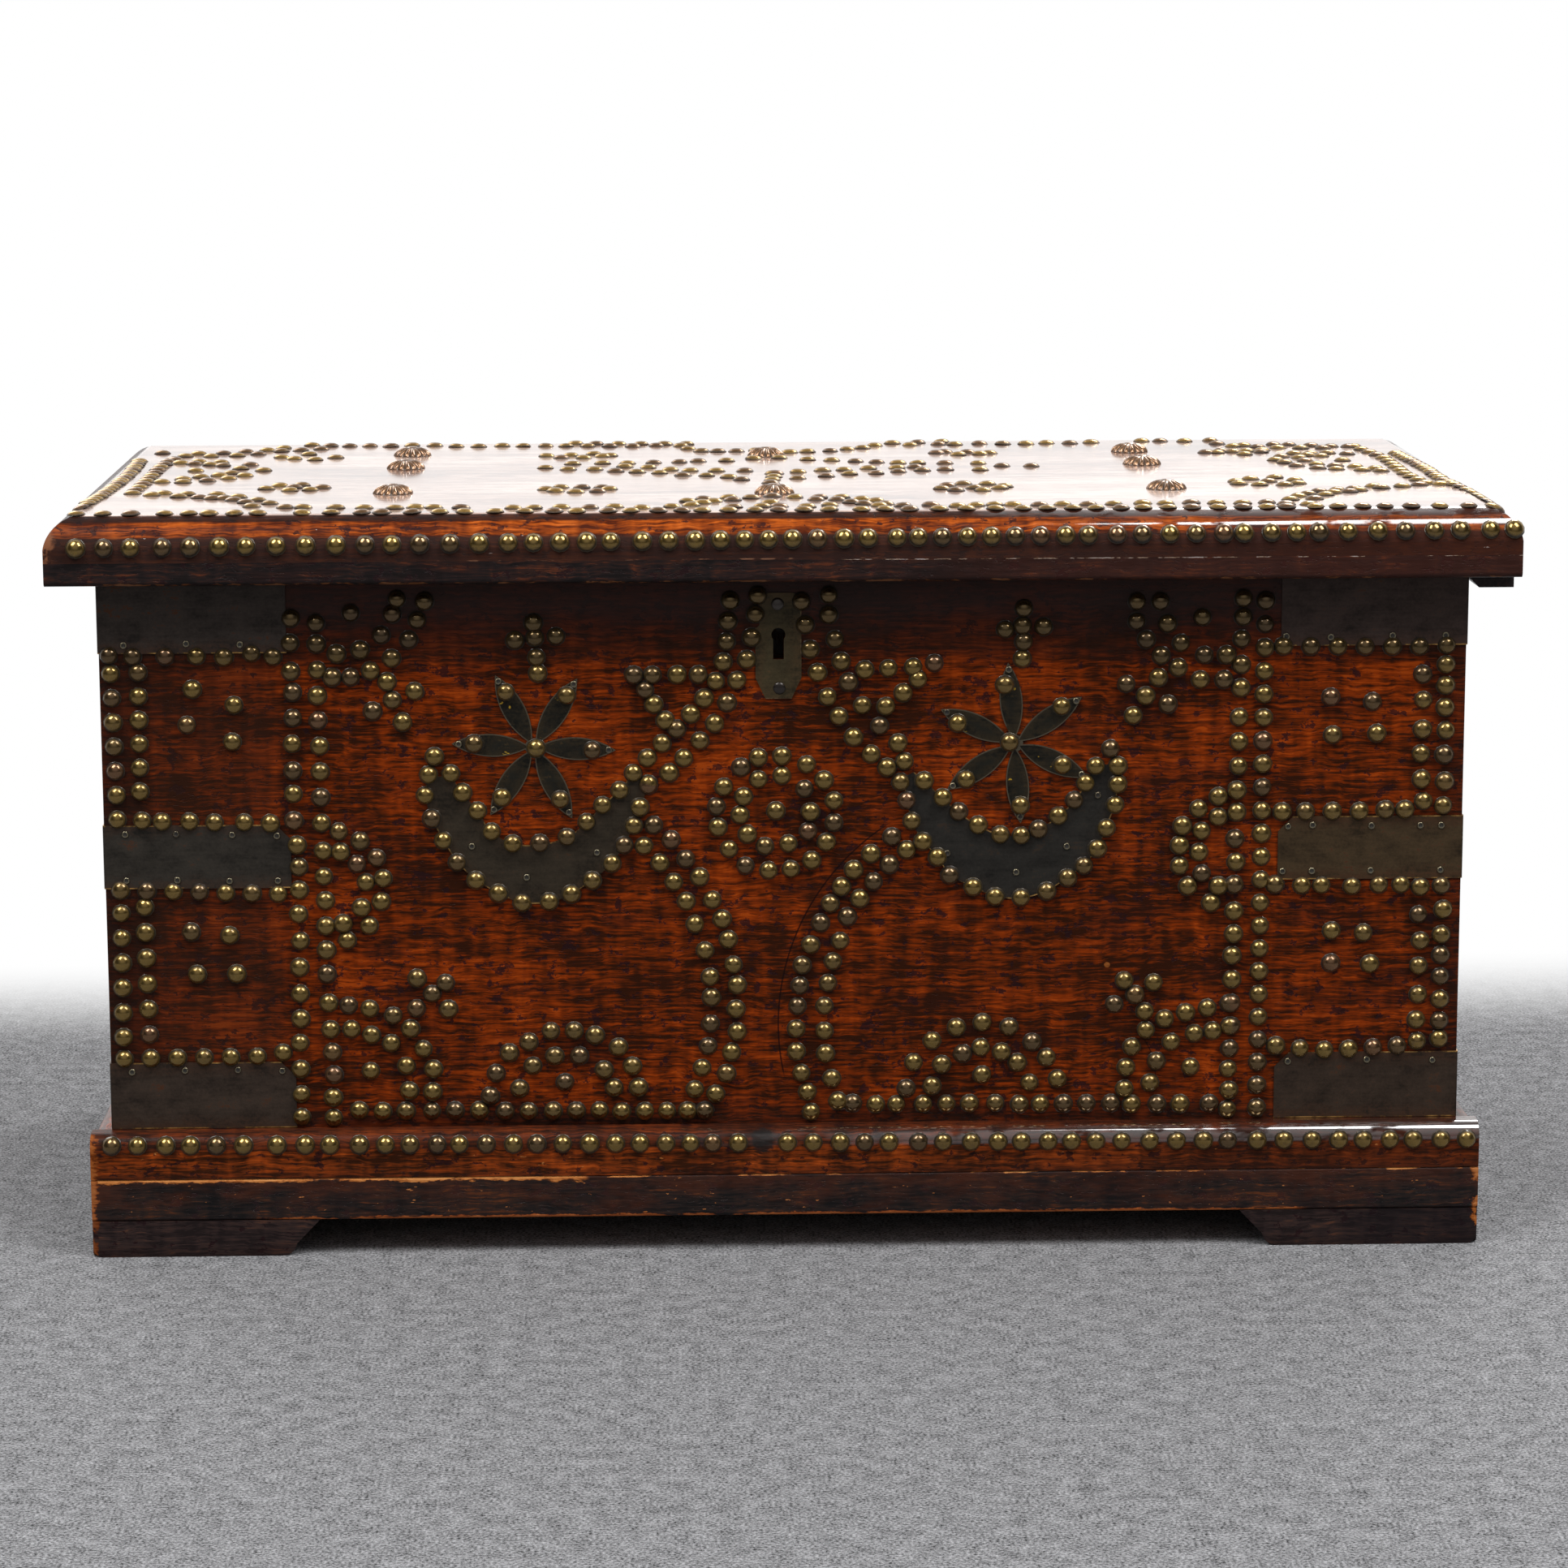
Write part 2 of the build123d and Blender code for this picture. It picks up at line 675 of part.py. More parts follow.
def handle_bail(side):
    """Drop handle: an eight-sided mitred bar with round journals, riveted heads and a swelling grip."""
    shoulder_y = post_y - handle_post_width / 2 - handle_head_gap
    low = handle_z - handle_drop
    half_path = [
        (shoulder_y, handle_z), (leg_y + handle_elbow_cut, handle_z), (leg_y, handle_z - handle_elbow_cut),
        (leg_y, low + handle_corner_cut), (leg_y - handle_corner_cut, low),
    ]
    points = half_path + [(-y, z) for y, z in reversed(half_path)]
    path = Polyline(*[(handle_x, middle_y + y, z) for y, z in points])
    start = Plane(path @ 0, x_dir=(0, 0, 1), z_dir=path % 0)
    bar = start * Rot(0, 0, 180 / handle_bar_sides) * RegularPolygon(handle_bar_radius, handle_bar_sides)
    bail = sweep(bar, path=path, transition=Transition.RIGHT)
    half = handle_grip_length / 2
    bead = handle_bar_radius + handle_grip_bead
    taper = math.degrees(math.atan((handle_grip_radius - bead) / half))
    for way in (-1, 1):
        middle = Plane((handle_x, middle_y, low), x_dir=(0, 0, 1), z_dir=(0, way, 0))
        swell = RegularPolygon(handle_grip_radius, handle_bar_sides)
        turned = Rot(0, 0, 180 / handle_bar_sides) * swell
        bail = bail + extrude(middle * turned, amount=half, taper=taper)
    for end in (-1, 1):
        shoulder = middle_y + end * shoulder_y
        near = middle_y + end * head_y
        journal = rod((handle_x, shoulder, handle_z), (handle_x, near, handle_z), handle_rod_radius)
        head = rod((handle_x, near, handle_z), (handle_x, near + end * handle_head, handle_z),
                   handle_head_radius)
        bail = bail + journal + head
    return bail if side > 0 else mirror(bail, Plane.YZ)


# ---------------------------------------------------------------- write every node
sides = {"left": -1, "right": 1}

write("front_board", front_board())
write("back_board", back_board())
write("till_front", till_front())
write("till_floor", till_floor())
for index in range(bottom_planks):
    write(f"bottom_plank_{index + 1}", bottom_plank(index))

write("plinth_moulding_front", plinth_moulding_front())
write("base_rail_front", base_rail_front())
write("base_rail_back", base_rail_back())
write("lid_front_strip", lid_front_strip())
write("lid_plank_front", lid_plank("front"))
write("lid_plank_back", lid_plank("back"))
write("escutcheon", escutcheon())
write("lock_case", lock_case())
write("lock_bolt", lock_bolt())
write("lock_staple", lock_staple())
write("crescent_left", crescent(crescent_x_left))
write("crescent_right", crescent(crescent_x_right))
write("flower_left", flower(crescent_x_left, flower_turn_left))
write("flower_right", flower(crescent_x_right, flower_turn_right))

for name, side in sides.items():
    write(f"end_board_{name}", end_board(side))
    write(f"plinth_moulding_{name}", plinth_moulding_side(side))
    write(f"base_rail_{name}", base_rail_side(side))
    write(f"lid_batten_{name}", lid_batten(side))
    for level in strap_levels:
        write(f"corner_strap_{name}_{level}", corner_strap(side, level))
    write(f"hinge_body_leaf_{name}", hinge_body_leaf(side * hinge_x))
    write(f"hinge_lid_strap_{name}", hinge_lid_strap(side * hinge_x))
    write(f"hinge_pin_{name}", hinge_pin(side * hinge_x))
    write(f"handle_plate_{name}", handle_plate(side))
    write(f"handle_posts_{name}", handle_post(side, -1), handle_post(side, 1))
    write(f"handle_bail_{name}", handle_bail(side))

write("foot_front_left", bracket_foot(-1, -1, foot_length_left))
write("foot_front_right", bracket_foot(1, -1, foot_length_right))
write("foot_back_left", bracket_foot(-1, 1, foot_return))
write("foot_back_right", bracket_foot(1, 1, foot_return))

side_rows = [
    lid_front_y + rosette_from_front,
    lid_back_y - rosette_middle_from_back,
    lid_back_y - rosette_from_back,
]
rosette_places = [(side * rosette_x, y) for side in (-1, 1) for y in side_rows]
rosette_places.append((keyhole_x, lid_front_y + rosette_centre_from_front))
rosette_places.append((keyhole_x, lid_back_y - rosette_centre_from_back))
write("lid_rosettes", *[lid_rosette(x, y) for x, y in rosette_places])
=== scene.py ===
import logging
import math
import random
from collections.abc import Iterable, Sequence
from dataclasses import dataclass
from enum import Enum
from typing import Any, Protocol

import bmesh
import bpy
from mathutils import Matrix, Vector


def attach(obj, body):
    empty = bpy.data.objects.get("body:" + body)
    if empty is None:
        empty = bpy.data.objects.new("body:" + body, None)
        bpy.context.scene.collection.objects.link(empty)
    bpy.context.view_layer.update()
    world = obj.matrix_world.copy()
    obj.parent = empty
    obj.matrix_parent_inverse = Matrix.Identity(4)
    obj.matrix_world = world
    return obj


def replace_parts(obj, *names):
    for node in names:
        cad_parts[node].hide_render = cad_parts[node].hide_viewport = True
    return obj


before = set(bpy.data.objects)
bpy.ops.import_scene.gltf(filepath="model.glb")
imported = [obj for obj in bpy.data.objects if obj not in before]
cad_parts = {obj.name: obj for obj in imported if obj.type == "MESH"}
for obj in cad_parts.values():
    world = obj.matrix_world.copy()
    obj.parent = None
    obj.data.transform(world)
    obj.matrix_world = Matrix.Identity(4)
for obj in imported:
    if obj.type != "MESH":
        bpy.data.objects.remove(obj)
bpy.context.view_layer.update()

log = logging.getLogger("dowry_chest")
MM = 0.001
Colour = tuple[float, float, float]
Point = tuple[float, float]
Ring = list[bmesh.types.BMEdge]

# Heights and faces of the chest, in metres
FRONT_FACE_Y = -0.242
LID_TOP_Z = 0.6077
PLINTH_JOINT_Z = 0.065
SIDES = ((-1, "left"), (1, "right"))

# Where nails are looked for from: well outside the chest
AFAR = 1.0
BACKWARDS = Vector((0, 1, 0))


def paint(red: int, green: int, blue: int) -> Colour:
    """A display colour from 0 to 255 as the linear colour that a shader takes."""
    shares = [level / 255 for level in (red, green, blue)]
    return tuple(s / 12.92 if s <= 0.04045 else ((s + 0.055) / 1.055) ** 2.4 for s in shares)


class Axis(Enum):
    """The three directions of the chest's frame."""

    X = 0
    Y = 1
    Z = 2


# ------------------------------------------------------------------ node bench


class Value:
    """A node's output that can be reckoned with as if it were a number or a vector."""

    def __init__(self, bench: "Bench", socket: bpy.types.NodeSocket) -> None:
        """Keeps the bench that made the node, and the output socket."""
        self.bench = bench
        self.socket = socket

    def _reckon(self, operation: str, first: Any, second: Any) -> "Value":
        """Joins two terms with a Math node, or with a Vector Math node where one is a vector.

        Args:
            operation: the node's operation.
            first: the first term.
            second: the second term.

        Returns:
            The node's output.
        """
        terms = (first, second)
        kinds = [t.socket.type if isinstance(t, Value) else type(t).__name__ for t in terms]
        if not any(kind in ("VECTOR", "tuple") for kind in kinds):
            return self.bench.math(operation, first, second)
        if operation == "MULTIPLY" and kinds[1] in ("VALUE", "float", "int"):
            return self.bench.node("VectorMath", {"operation": "SCALE"}, {0: first, "Scale": second})
        return self.bench.node("VectorMath", {"operation": operation}, {0: first, 1: second})

    def __add__(self, other: Any) -> "Value":
        """Sum."""
        return self._reckon("ADD", self, other)

    def __radd__(self, other: Any) -> "Value":
        """Sum with the number first."""
        return self._reckon("ADD", other, self)

    def __sub__(self, other: Any) -> "Value":
        """Difference."""
        return self._reckon("SUBTRACT", self, other)

    def __rsub__(self, other: Any) -> "Value":
        """Difference with the number first."""
        return self._reckon("SUBTRACT", other, self)

    def __mul__(self, other: Any) -> "Value":
        """Product."""
        return self._reckon("MULTIPLY", self, other)

    def __rmul__(self, other: Any) -> "Value":
        """Product with the number first."""
        return self._reckon("MULTIPLY", self, other)


class Bench:
    """Makes the nodes of one material or of the world."""

    def __init__(self, tree: bpy.types.NodeTree) -> None:
        """Takes over a node tree and empties it."""
        self.tree = tree
        tree.nodes.clear()

    def node(
        self,
        kind: str,
        settings: dict[str, Any] | None = None,
        inputs: dict[int | str, Any] | None = None,
        output: int | str = 0,
    ) -> Value | None:
        """Makes one node.

        Args:
            kind: the node's type without its ShaderNode prefix.
            settings: properties of the node; "stops" fills a colour ramp.
            inputs: numbers, colours, vectors or values for its sockets.
            output: the socket wanted back.

        Returns:
            The wanted output, or None for a node that has none.
        """
        made = self.tree.nodes.new("ShaderNode" + kind)
        for name, setting in (settings or {}).items():
            if name == "stops":
                self._set_stops(made.color_ramp, setting)
            else:
                setattr(made, name, setting)
        for name, given in (inputs or {}).items():
            socket = made.inputs[name]
            if isinstance(given, Value):
                self.tree.links.new(given.socket, socket)
            elif socket.type == "RGBA":
                socket.default_value = (*given, 1.0)
            elif socket.type == "VECTOR" and isinstance(given, (int, float)):
                socket.default_value = (given, given, given)
            else:
                socket.default_value = given
        return Value(self, made.outputs[output]) if made.outputs else None

    def _set_stops(self, ramp: bpy.types.ColorRamp, stops: Sequence[tuple[float, Colour]]) -> None:
        """Fills a colour ramp.

        Args:
            ramp: the ramp of a new node.
            stops: place and colour of each stop, from low to high.
        """
        while len(ramp.elements) < len(stops):
            ramp.elements.new(1.0)
        for element, (place, colour) in zip(ramp.elements, stops):
            element.position = place
            element.color = (*colour, 1.0)

    def math(self, operation: str, first: Any, second: Any = 0.0) -> Value:
        """A Math node of two terms."""
        return self.node("Math", {"operation": operation}, {0: first, 1: second})

    def place(self) -> Value:
        """Where a point of the surface lies in the chest's frame, in metres."""
        return self.node("TexCoord", output="Object")

    def part(self, vector: Value, axis: Axis) -> Value:
        """One coordinate of a vector."""
        return self.node("SeparateXYZ", inputs={0: vector}, output=axis.value)

    def ray(self, kind: str) -> Value:
        """One for a ray of the named kind, and zero for any other."""
        return self.node("LightPath", output=f"Is {kind} Ray")

    def noise(
        self, vector: Value, scale: float | Sequence[float], detail: float = 2.0, roughness: float = 0.5
    ) -> Value:
        """Fractal noise, about 0.5 on average.

        Args:
            vector: where the noise is read.
            scale: features per metre, one number or one for each axis.
            detail: how many finer octaves are added.
            roughness: the strength of the finer octaves.

        Returns:
            The noise from 0 to 1.
        """
        scales = (scale, scale, scale) if isinstance(scale, float) else tuple(scale)
        spread = self.node("VectorMath", {"operation": "MULTIPLY"}, {0: vector, 1: scales})
        fixed = {"Scale": 1.0, "Detail": detail, "Roughness": roughness}
        return self.node("TexNoise", inputs={"Vector": spread, **fixed})

    def rise(self, value: Value, low: float, high: float) -> Value:
        """A smooth step.

        Args:
            value: what is looked at.
            low: where the step is 0.
            high: where the step is 1, which may lie below low.

        Returns:
            The step from 0 to 1.
        """
        ends = {1: low, 2: high} if low < high else {1: high, 2: low}
        step = self.node("MapRange", {"interpolation_type": "SMOOTHSTEP"}, {0: value, **ends})
        return step if low < high else 1.0 - step

    def ramp(self, value: Value, stops: Sequence[tuple[float, Colour]]) -> Value:
        """The colour of a value between its stops."""
        return self.node("ValToRGB", {"stops": stops}, {0: value})

    def blend(self, share: Value, under: Any, over: Any) -> Value:
        """One colour laid over another by a share from 0 to 1."""
        kind = {"data_type": "RGBA", "clamp_factor": True}
        return self.node("Mix", kind, {0: share, 6: under, 7: over}, 2)

    def attribute(self, name: str) -> Value:
        """A number kept with each point of the mesh."""
        return self.node("Attribute", {"attribute_name": name}, output="Fac")

    def surface(
        self,
        colour: Any,
        roughness: Any,
        height: Value | None = None,
        relief: float = 0.0,
        **sockets: Any,
    ) -> None:
        """Ends the material in a Principled surface.

        Args:
            colour: base colour.
            roughness: roughness, a number or a value.
            height: relief from 0 to 1, or None for a smooth surface.
            relief: height of the relief in metres.
            sockets: other sockets of the shader, with "_" for a space.
        """
        named = {name.replace("_", " "): given for name, given in sockets.items()}
        inputs = {"Base Color": colour, "Roughness": roughness, **named}
        if height is not None:
            bump = {"Strength": 1.0, "Distance": relief, "Height": height}
            inputs["Normal"] = self.node("Bump", inputs=bump)
        shader = self.node("BsdfPrincipled", inputs=inputs)
        self.node("OutputMaterial", inputs={"Surface": shader})


# -------------------------------------------------------------- marks and wear


class Mark(Protocol):
    """Something that colours a part of a finish."""

    colour: Colour

    def mask(self, bench: Bench, place: Value) -> Value:
        """How strongly the mark shows, from 0 to 1."""


@dataclass(frozen=True)
class ShadeBand:
    """A colour that grows along one axis: painted shade in places, such as the lid's shadow on the front, and
    old dirt or dark finish elsewhere.
    """

    axis: Axis
    start: float
    full: float
    depth: float = 0.8
    ragged: float = 0.5
    colour: Colour = paint(26, 18, 18)

    def mask(self, bench: Bench, place: Value) -> Value:
        """The band's share, broken up by cloudy noise.

        Args:
            bench: the material's bench.
            place: the surface's place.

        Returns:
            The share from 0 to 1.
        """
        cloud = bench.noise(place, (22.0, 22.0, 60.0), 4.0, 0.65)
        drift = (cloud - 0.5) * (self.ragged * abs(self.full - self.start))
        reach = bench.part(place, self.axis) + drift
        return bench.rise(reach, self.start, self.full) * self.depth


@dataclass(frozen=True)
class InnerFace:
    """Bare, unpolished wood on the side of a board that the chest hides."""

    axis: Axis
    at: float
    beyond: bool = True
    soft: float = 0.0004
    colour: Colour = paint(138, 92, 58)

    def mask(self, bench: Bench, place: Value) -> Value:
        """One past the plane, with a hair's breadth of softness."""
        edge = self.soft if self.beyond else -self.soft
        return bench.rise(bench.part(place, self.axis), self.at - edge, self.at + edge)


@dataclass(frozen=True)
class EdgeWearAndGlint:
    """Finish rubbed off along an edge, down to pale wood; on the lid's front strip it paints a glint along
    the top arris instead.

    Attributes:
        axis: the axis that its distance is measured along.
        at: where the edge lies on that axis.
        width: how far the wear reaches from it.
        along: the axis that the edge runs along.
        first: where the wear starts.
        last: where it ends.
        cover: how much of the edge is worn.
        coarse: patches per metre.
        colour: colour of the wood under the finish.
        chips: how ragged the outline is.
        tall: how much finer the patches are in height.
        near: an axis, a face on it and a depth that limit the wear to that face.
    """

    axis: Axis
    at: float
    width: float
    along: Axis
    first: float
    last: float
    cover: float = 0.5
    coarse: float = 30.0
    colour: Colour = paint(196, 140, 84)
    chips: float = 2.4
    tall: float = 4.0
    near: tuple[Axis, float, float] | None = None

    def mask(self, bench: Bench, place: Value) -> Value:
        """The edge's share: close to its line, between its ends and where the rubbing was hard.

        Args:
            bench: the material's bench.
            place: the surface's place.

        Returns:
            The share from 0 to 1.
        """
        away = bench.math("ABSOLUTE", bench.part(place, self.axis) - self.at)
        run = bench.part(place, self.along)
        soft = 0.03 * (self.last - self.first)
        inside = bench.rise(run, self.first, self.first + soft) * bench.rise(run, self.last, self.last - soft)
        rubbing = bench.noise(place, (self.coarse, self.coarse, self.coarse * self.tall), 4.0, 0.7)
        splinter = bench.noise(place, (110.0, 110.0, 340.0), 3.0, 0.7)
        hard = 0.72 - 0.45 * self.cover
        ragged = away - (rubbing - 0.5) * (4.0 * self.width) - (splinter - 0.5) * (self.chips * self.width)
        reach = bench.rise(ragged, self.width * 1.15, self.width * 0.25)
        if self.near:
            axis, face, depth = self.near
            behind = bench.math("ABSOLUTE", bench.part(place, axis) - face) + (rubbing - 0.5) * depth
            reach = reach * bench.rise(behind, depth, 0.4 * depth)
        return reach * inside * bench.rise(rubbing, hard - 0.04, hard + 0.04)


@dataclass(frozen=True)
class ChipsAndGlints:
    """Small chips and scratches that show pale wood, longer along the grain, in a band of height; in pale
    grey on the thumb moulding they paint small glints.
    """

    low: float
    high: float
    amount: float = 0.5
    colour: Colour = paint(178, 116, 66)
    soft: float = 0.004

    def mask(self, bench: Bench, place: Value) -> Value:
        """The chips' share.

        Args:
            bench: the material's bench.
            place: the surface's place.

        Returns:
            The share from 0 to 1.
        """
        height = bench.part(place, Axis.Z)
        inside = bench.rise(height, self.low, self.low + self.soft)
        inside = inside * bench.rise(height, self.high, self.high - self.soft)
        chip = bench.noise(place + 1.9, (95.0, 95.0, 300.0), 3.0, 0.6)
        limit = 0.74 - 0.06 * self.amount
        return bench.rise(chip, limit, limit + 0.015) * inside


@dataclass(frozen=True)
class Patch:
    """A round spot, such as a dent, a nick or a nail's empty hole."""

    centre: tuple[float, float, float]
    radius: float
    colour: Colour
    depth: float = 1.0

    def mask(self, bench: Bench, place: Value) -> Value:
        """The spot's share, with a ragged rim.

        Args:
            bench: the material's bench.
            place: the surface's place.

        Returns:
            The share from 0 to 1.
        """
        reach = bench.node("VectorMath", {"operation": "LENGTH"}, {0: place - self.centre}, "Value")
        ragged = bench.noise(place, 260.0, 2.0)
        return bench.rise(reach + ragged * (0.5 * self.radius), self.radius * 1.3, self.radius) * self.depth


@dataclass(frozen=True)
class ArcScore:
    """A line scored with a compass through three points of the front, given in millimetres."""

    points: tuple[Point, Point, Point]
    width: float = 0.0009
    depth: float = 0.85
    fade: float = 0.01
    colour: Colour = paint(20, 9, 8)

    def centre(self) -> tuple[Vector, float]:
        """The circle through the three points.

        Returns:
            Its centre and radius, in metres.
        """
        (ax, ay), (bx, by), (cx, cy) = [(x * MM, z * MM) for x, z in self.points]
        twice = 2 * (ax * (by - cy) + bx * (cy - ay) + cx * (ay - by))
        a, b, c = ax * ax + ay * ay, bx * bx + by * by, cx * cx + cy * cy
        x = (a * (by - cy) + b * (cy - ay) + c * (ay - by)) / twice
        y = (a * (cx - bx) + b * (ax - cx) + c * (bx - ax)) / twice
        return Vector((x, y)), math.hypot(ax - x, ay - y)

    def mask(self, bench: Bench, place: Value) -> Value:
        """The score's share between the first point and the last.

        Args:
            bench: the material's bench.
            place: the surface's place.

        Returns:
            The share from 0 to 1.
        """
        (x, z), radius = self.centre()
        across, up = bench.part(place, Axis.X) - x, bench.part(place, Axis.Z) - z
        reach = bench.math("SQRT", across * across + up * up)
        away = bench.math("ABSOLUTE", reach - radius)
        heights = [point[1] * MM for point in self.points]
        height, low, high = bench.part(place, Axis.Z), min(heights), max(heights)
        between = bench.rise(height, low, low + self.fade) * bench.rise(height, high, high - self.fade)
        side = bench.rise(across, 0.0, -MM if x > self.points[1][0] * MM else MM)
        return bench.rise(away, self.width, self.width * 0.4) * between * side * self.depth


# -------------------------------------------------------------------- finishes


class Finish(Protocol):
    """A procedural material."""

    name: str

    def build(self) -> bpy.types.Material:
        """Makes the material.

        Returns:
            The material, ready for a slot.
        """


def tinted(colour: Colour, shares: Colour) -> Colour:
    """A colour with each channel scaled by its share."""
    return tuple(part * share for part, share in zip(colour, shares))


def new_bench(name: str) -> tuple[bpy.types.Material, Bench]:
    """A named material with an empty node tree.

    Args:
        name: the material's name.

    Returns:
        The material and the bench of its nodes.
    """
    material = bpy.data.materials.new(name)
    material.use_nodes = True
    return material, Bench(material.node_tree)


@dataclass(frozen=True)
class Teak:
    """Old polished teak: wavy streaks, ray fleck, dark blots, bright dashes, worn places and, on the lid's
    strip and thumb, painted glints.
    """

    name: str
    grain: Axis = Axis.X
    deep: Colour = paint(46, 20, 8)
    body: Colour = paint(88, 33, 6)
    bright: Colour = paint(126, 46, 6)
    glow: Colour = paint(152, 62, 12)
    marks: tuple[Mark, ...] = ()
    bare_wood_and_glints: tuple[Mark, ...] = ()
    polish: float = 0.30
    gloss: float = 0.06
    coat: float = 0.0
    shining: tuple[float, float] = (-9.0, -8.9)
    shining_above: float = -1.0
    coat_ior: float = 1.5
    wave: float = 0.014
    seed: float = 0.0
    blots: float = 1.0
    singe: Colour = (0.42, 0.28, 0.16)
    tan: Colour = (0.80, 0.66, 0.50)

    def along(self, run: float, across: float) -> tuple[float, float, float]:
        """Noise scale with the grain's direction set apart.

        Args:
            run: features per metre along the grain.
            across: features per metre across it.

        Returns:
            One number for each axis.
        """
        scale = [across] * 3
        scale[self.grain.value] = run
        return tuple(scale)

    def grain_place(self, bench: Bench, place: Value) -> Value:
        """Bends a place by the waves of the grain.

        Args:
            bench: the material's bench.
            place: the surface's place.

        Returns:
            The bent place.
        """
        slow = bench.noise(place, self.along(5.0, 14.0), 2.0) - 0.5
        ripple = bench.noise(place, self.along(52.0, 40.0), 1.0) - 0.5
        shift = slow * self.wave + ripple * (0.36 * self.wave)
        lift = [shift, shift, shift]
        lift[self.grain.value] = 0.0
        return place + bench.node("CombineXYZ", inputs=dict(enumerate(lift)))

    def figure(self, bench: Bench, here: Value) -> tuple[Value, Value, Value]:
        """Colour, tone and relief of the wood before its finish is counted.

        Args:
            bench: the material's bench.
            here: the surface's place.

        Returns:
            The colour, its tone about 0.5, and the relief from 0 to 1.
        """
        place = here + self.seed
        bent = self.grain_place(bench, place)
        cloud = bench.noise(place, self.along(9.0, 24.0), 3.0, 0.5)
        fleck = bench.noise(bent, self.along(70.0, 210.0), 3.0, 0.6)
        line = bench.noise(bent, self.along(24.0, 430.0), 2.0, 0.7)
        ribbon = bench.noise(place, self.along(70.0, 12.0), 2.0, 0.6)
        tone = cloud * 0.27 + fleck * 0.15 + line * 0.40 + ribbon * 0.18
        stops = ((0.445, self.deep), (0.50, self.body), (0.56, self.bright), (0.61, self.glow))
        colour = bench.ramp(tone, stops)
        blot = bench.noise(place + 3.7, self.along(80.0, 115.0), 4.0, 0.68)
        blotted = bench.rise(blot, 0.585, 0.62) * self.blots
        colour = bench.blend(blotted * 0.8, colour, paint(34, 18, 21))
        stain = bench.noise(place + 8.1, self.along(14.0, 40.0), 3.0, 0.6)
        colour = bench.blend(bench.rise(stain, 0.52, 0.68) * 0.28, colour, paint(42, 20, 17))
        pit = bench.noise(bent, self.along(120.0, 520.0), 1.0)
        pitted = bench.rise(pit, 0.66, 0.71)
        colour = bench.blend(pitted * 0.3, colour, paint(30, 13, 9))
        return colour, tone, line * 0.4 + fleck * 0.2 - pitted * 0.5 - blotted * 0.3

    def lacquer(self, bench: Bench, here: Value) -> Value:
        """How much lacquer is left: it grows to the right and is broken up by handling.

        Args:
            bench: the material's bench.
            here: the surface's place.

        Returns:
            The coat's weight.
        """
        handled = bench.noise(here, (30.0, 60.0, 60.0), 3.0, 0.65)
        left = bench.rise(bench.part(here, Axis.X) + (handled - 0.5) * 0.5, *self.shining)
        high = bench.rise(bench.part(here, Axis.Z), self.shining_above - 0.001, self.shining_above + 0.001)
        return left * high * bench.rise(handled, 0.36, 0.50) * self.coat

    def build(self) -> bpy.types.Material:
        """Makes the material.

        Returns:
            The material, ready for a slot.
        """
        material, bench = new_bench(self.name)
        here = bench.place()
        colour, tone, relief = self.figure(bench, here)
        for mark in self.marks:
            colour = bench.blend(mark.mask(bench, here), colour, mark.colour)
        dull: Any = 0.0
        # Pale marks: bare wood on worn and hidden faces, and painted glints on the lid's strip and thumb
        for mark in self.bare_wood_and_glints:
            share = mark.mask(bench, here)
            singed, tanned = (tinted(mark.colour, shades) for shades in (self.singe, self.tan))
            stops = ((0.42, singed), (0.72, tanned), (0.98, mark.colour))
            pale = bench.ramp(share * 0.5 + tone * 2.6 - 0.94, stops)
            colour = bench.blend(bench.rise(share, 0.0, 0.35), colour, pale)
            dull = share + dull
        roughness = tone * 0.3 + (self.polish - 0.15) + dull * 0.35
        bench.surface(
            colour, roughness, relief, 0.0004,
            Specular_IOR_Level=self.gloss, Coat_Roughness=0.09, Coat_IOR=self.coat_ior,
            Coat_Weight=self.lacquer(bench, here) if self.coat else 0.0,
        )
        return material


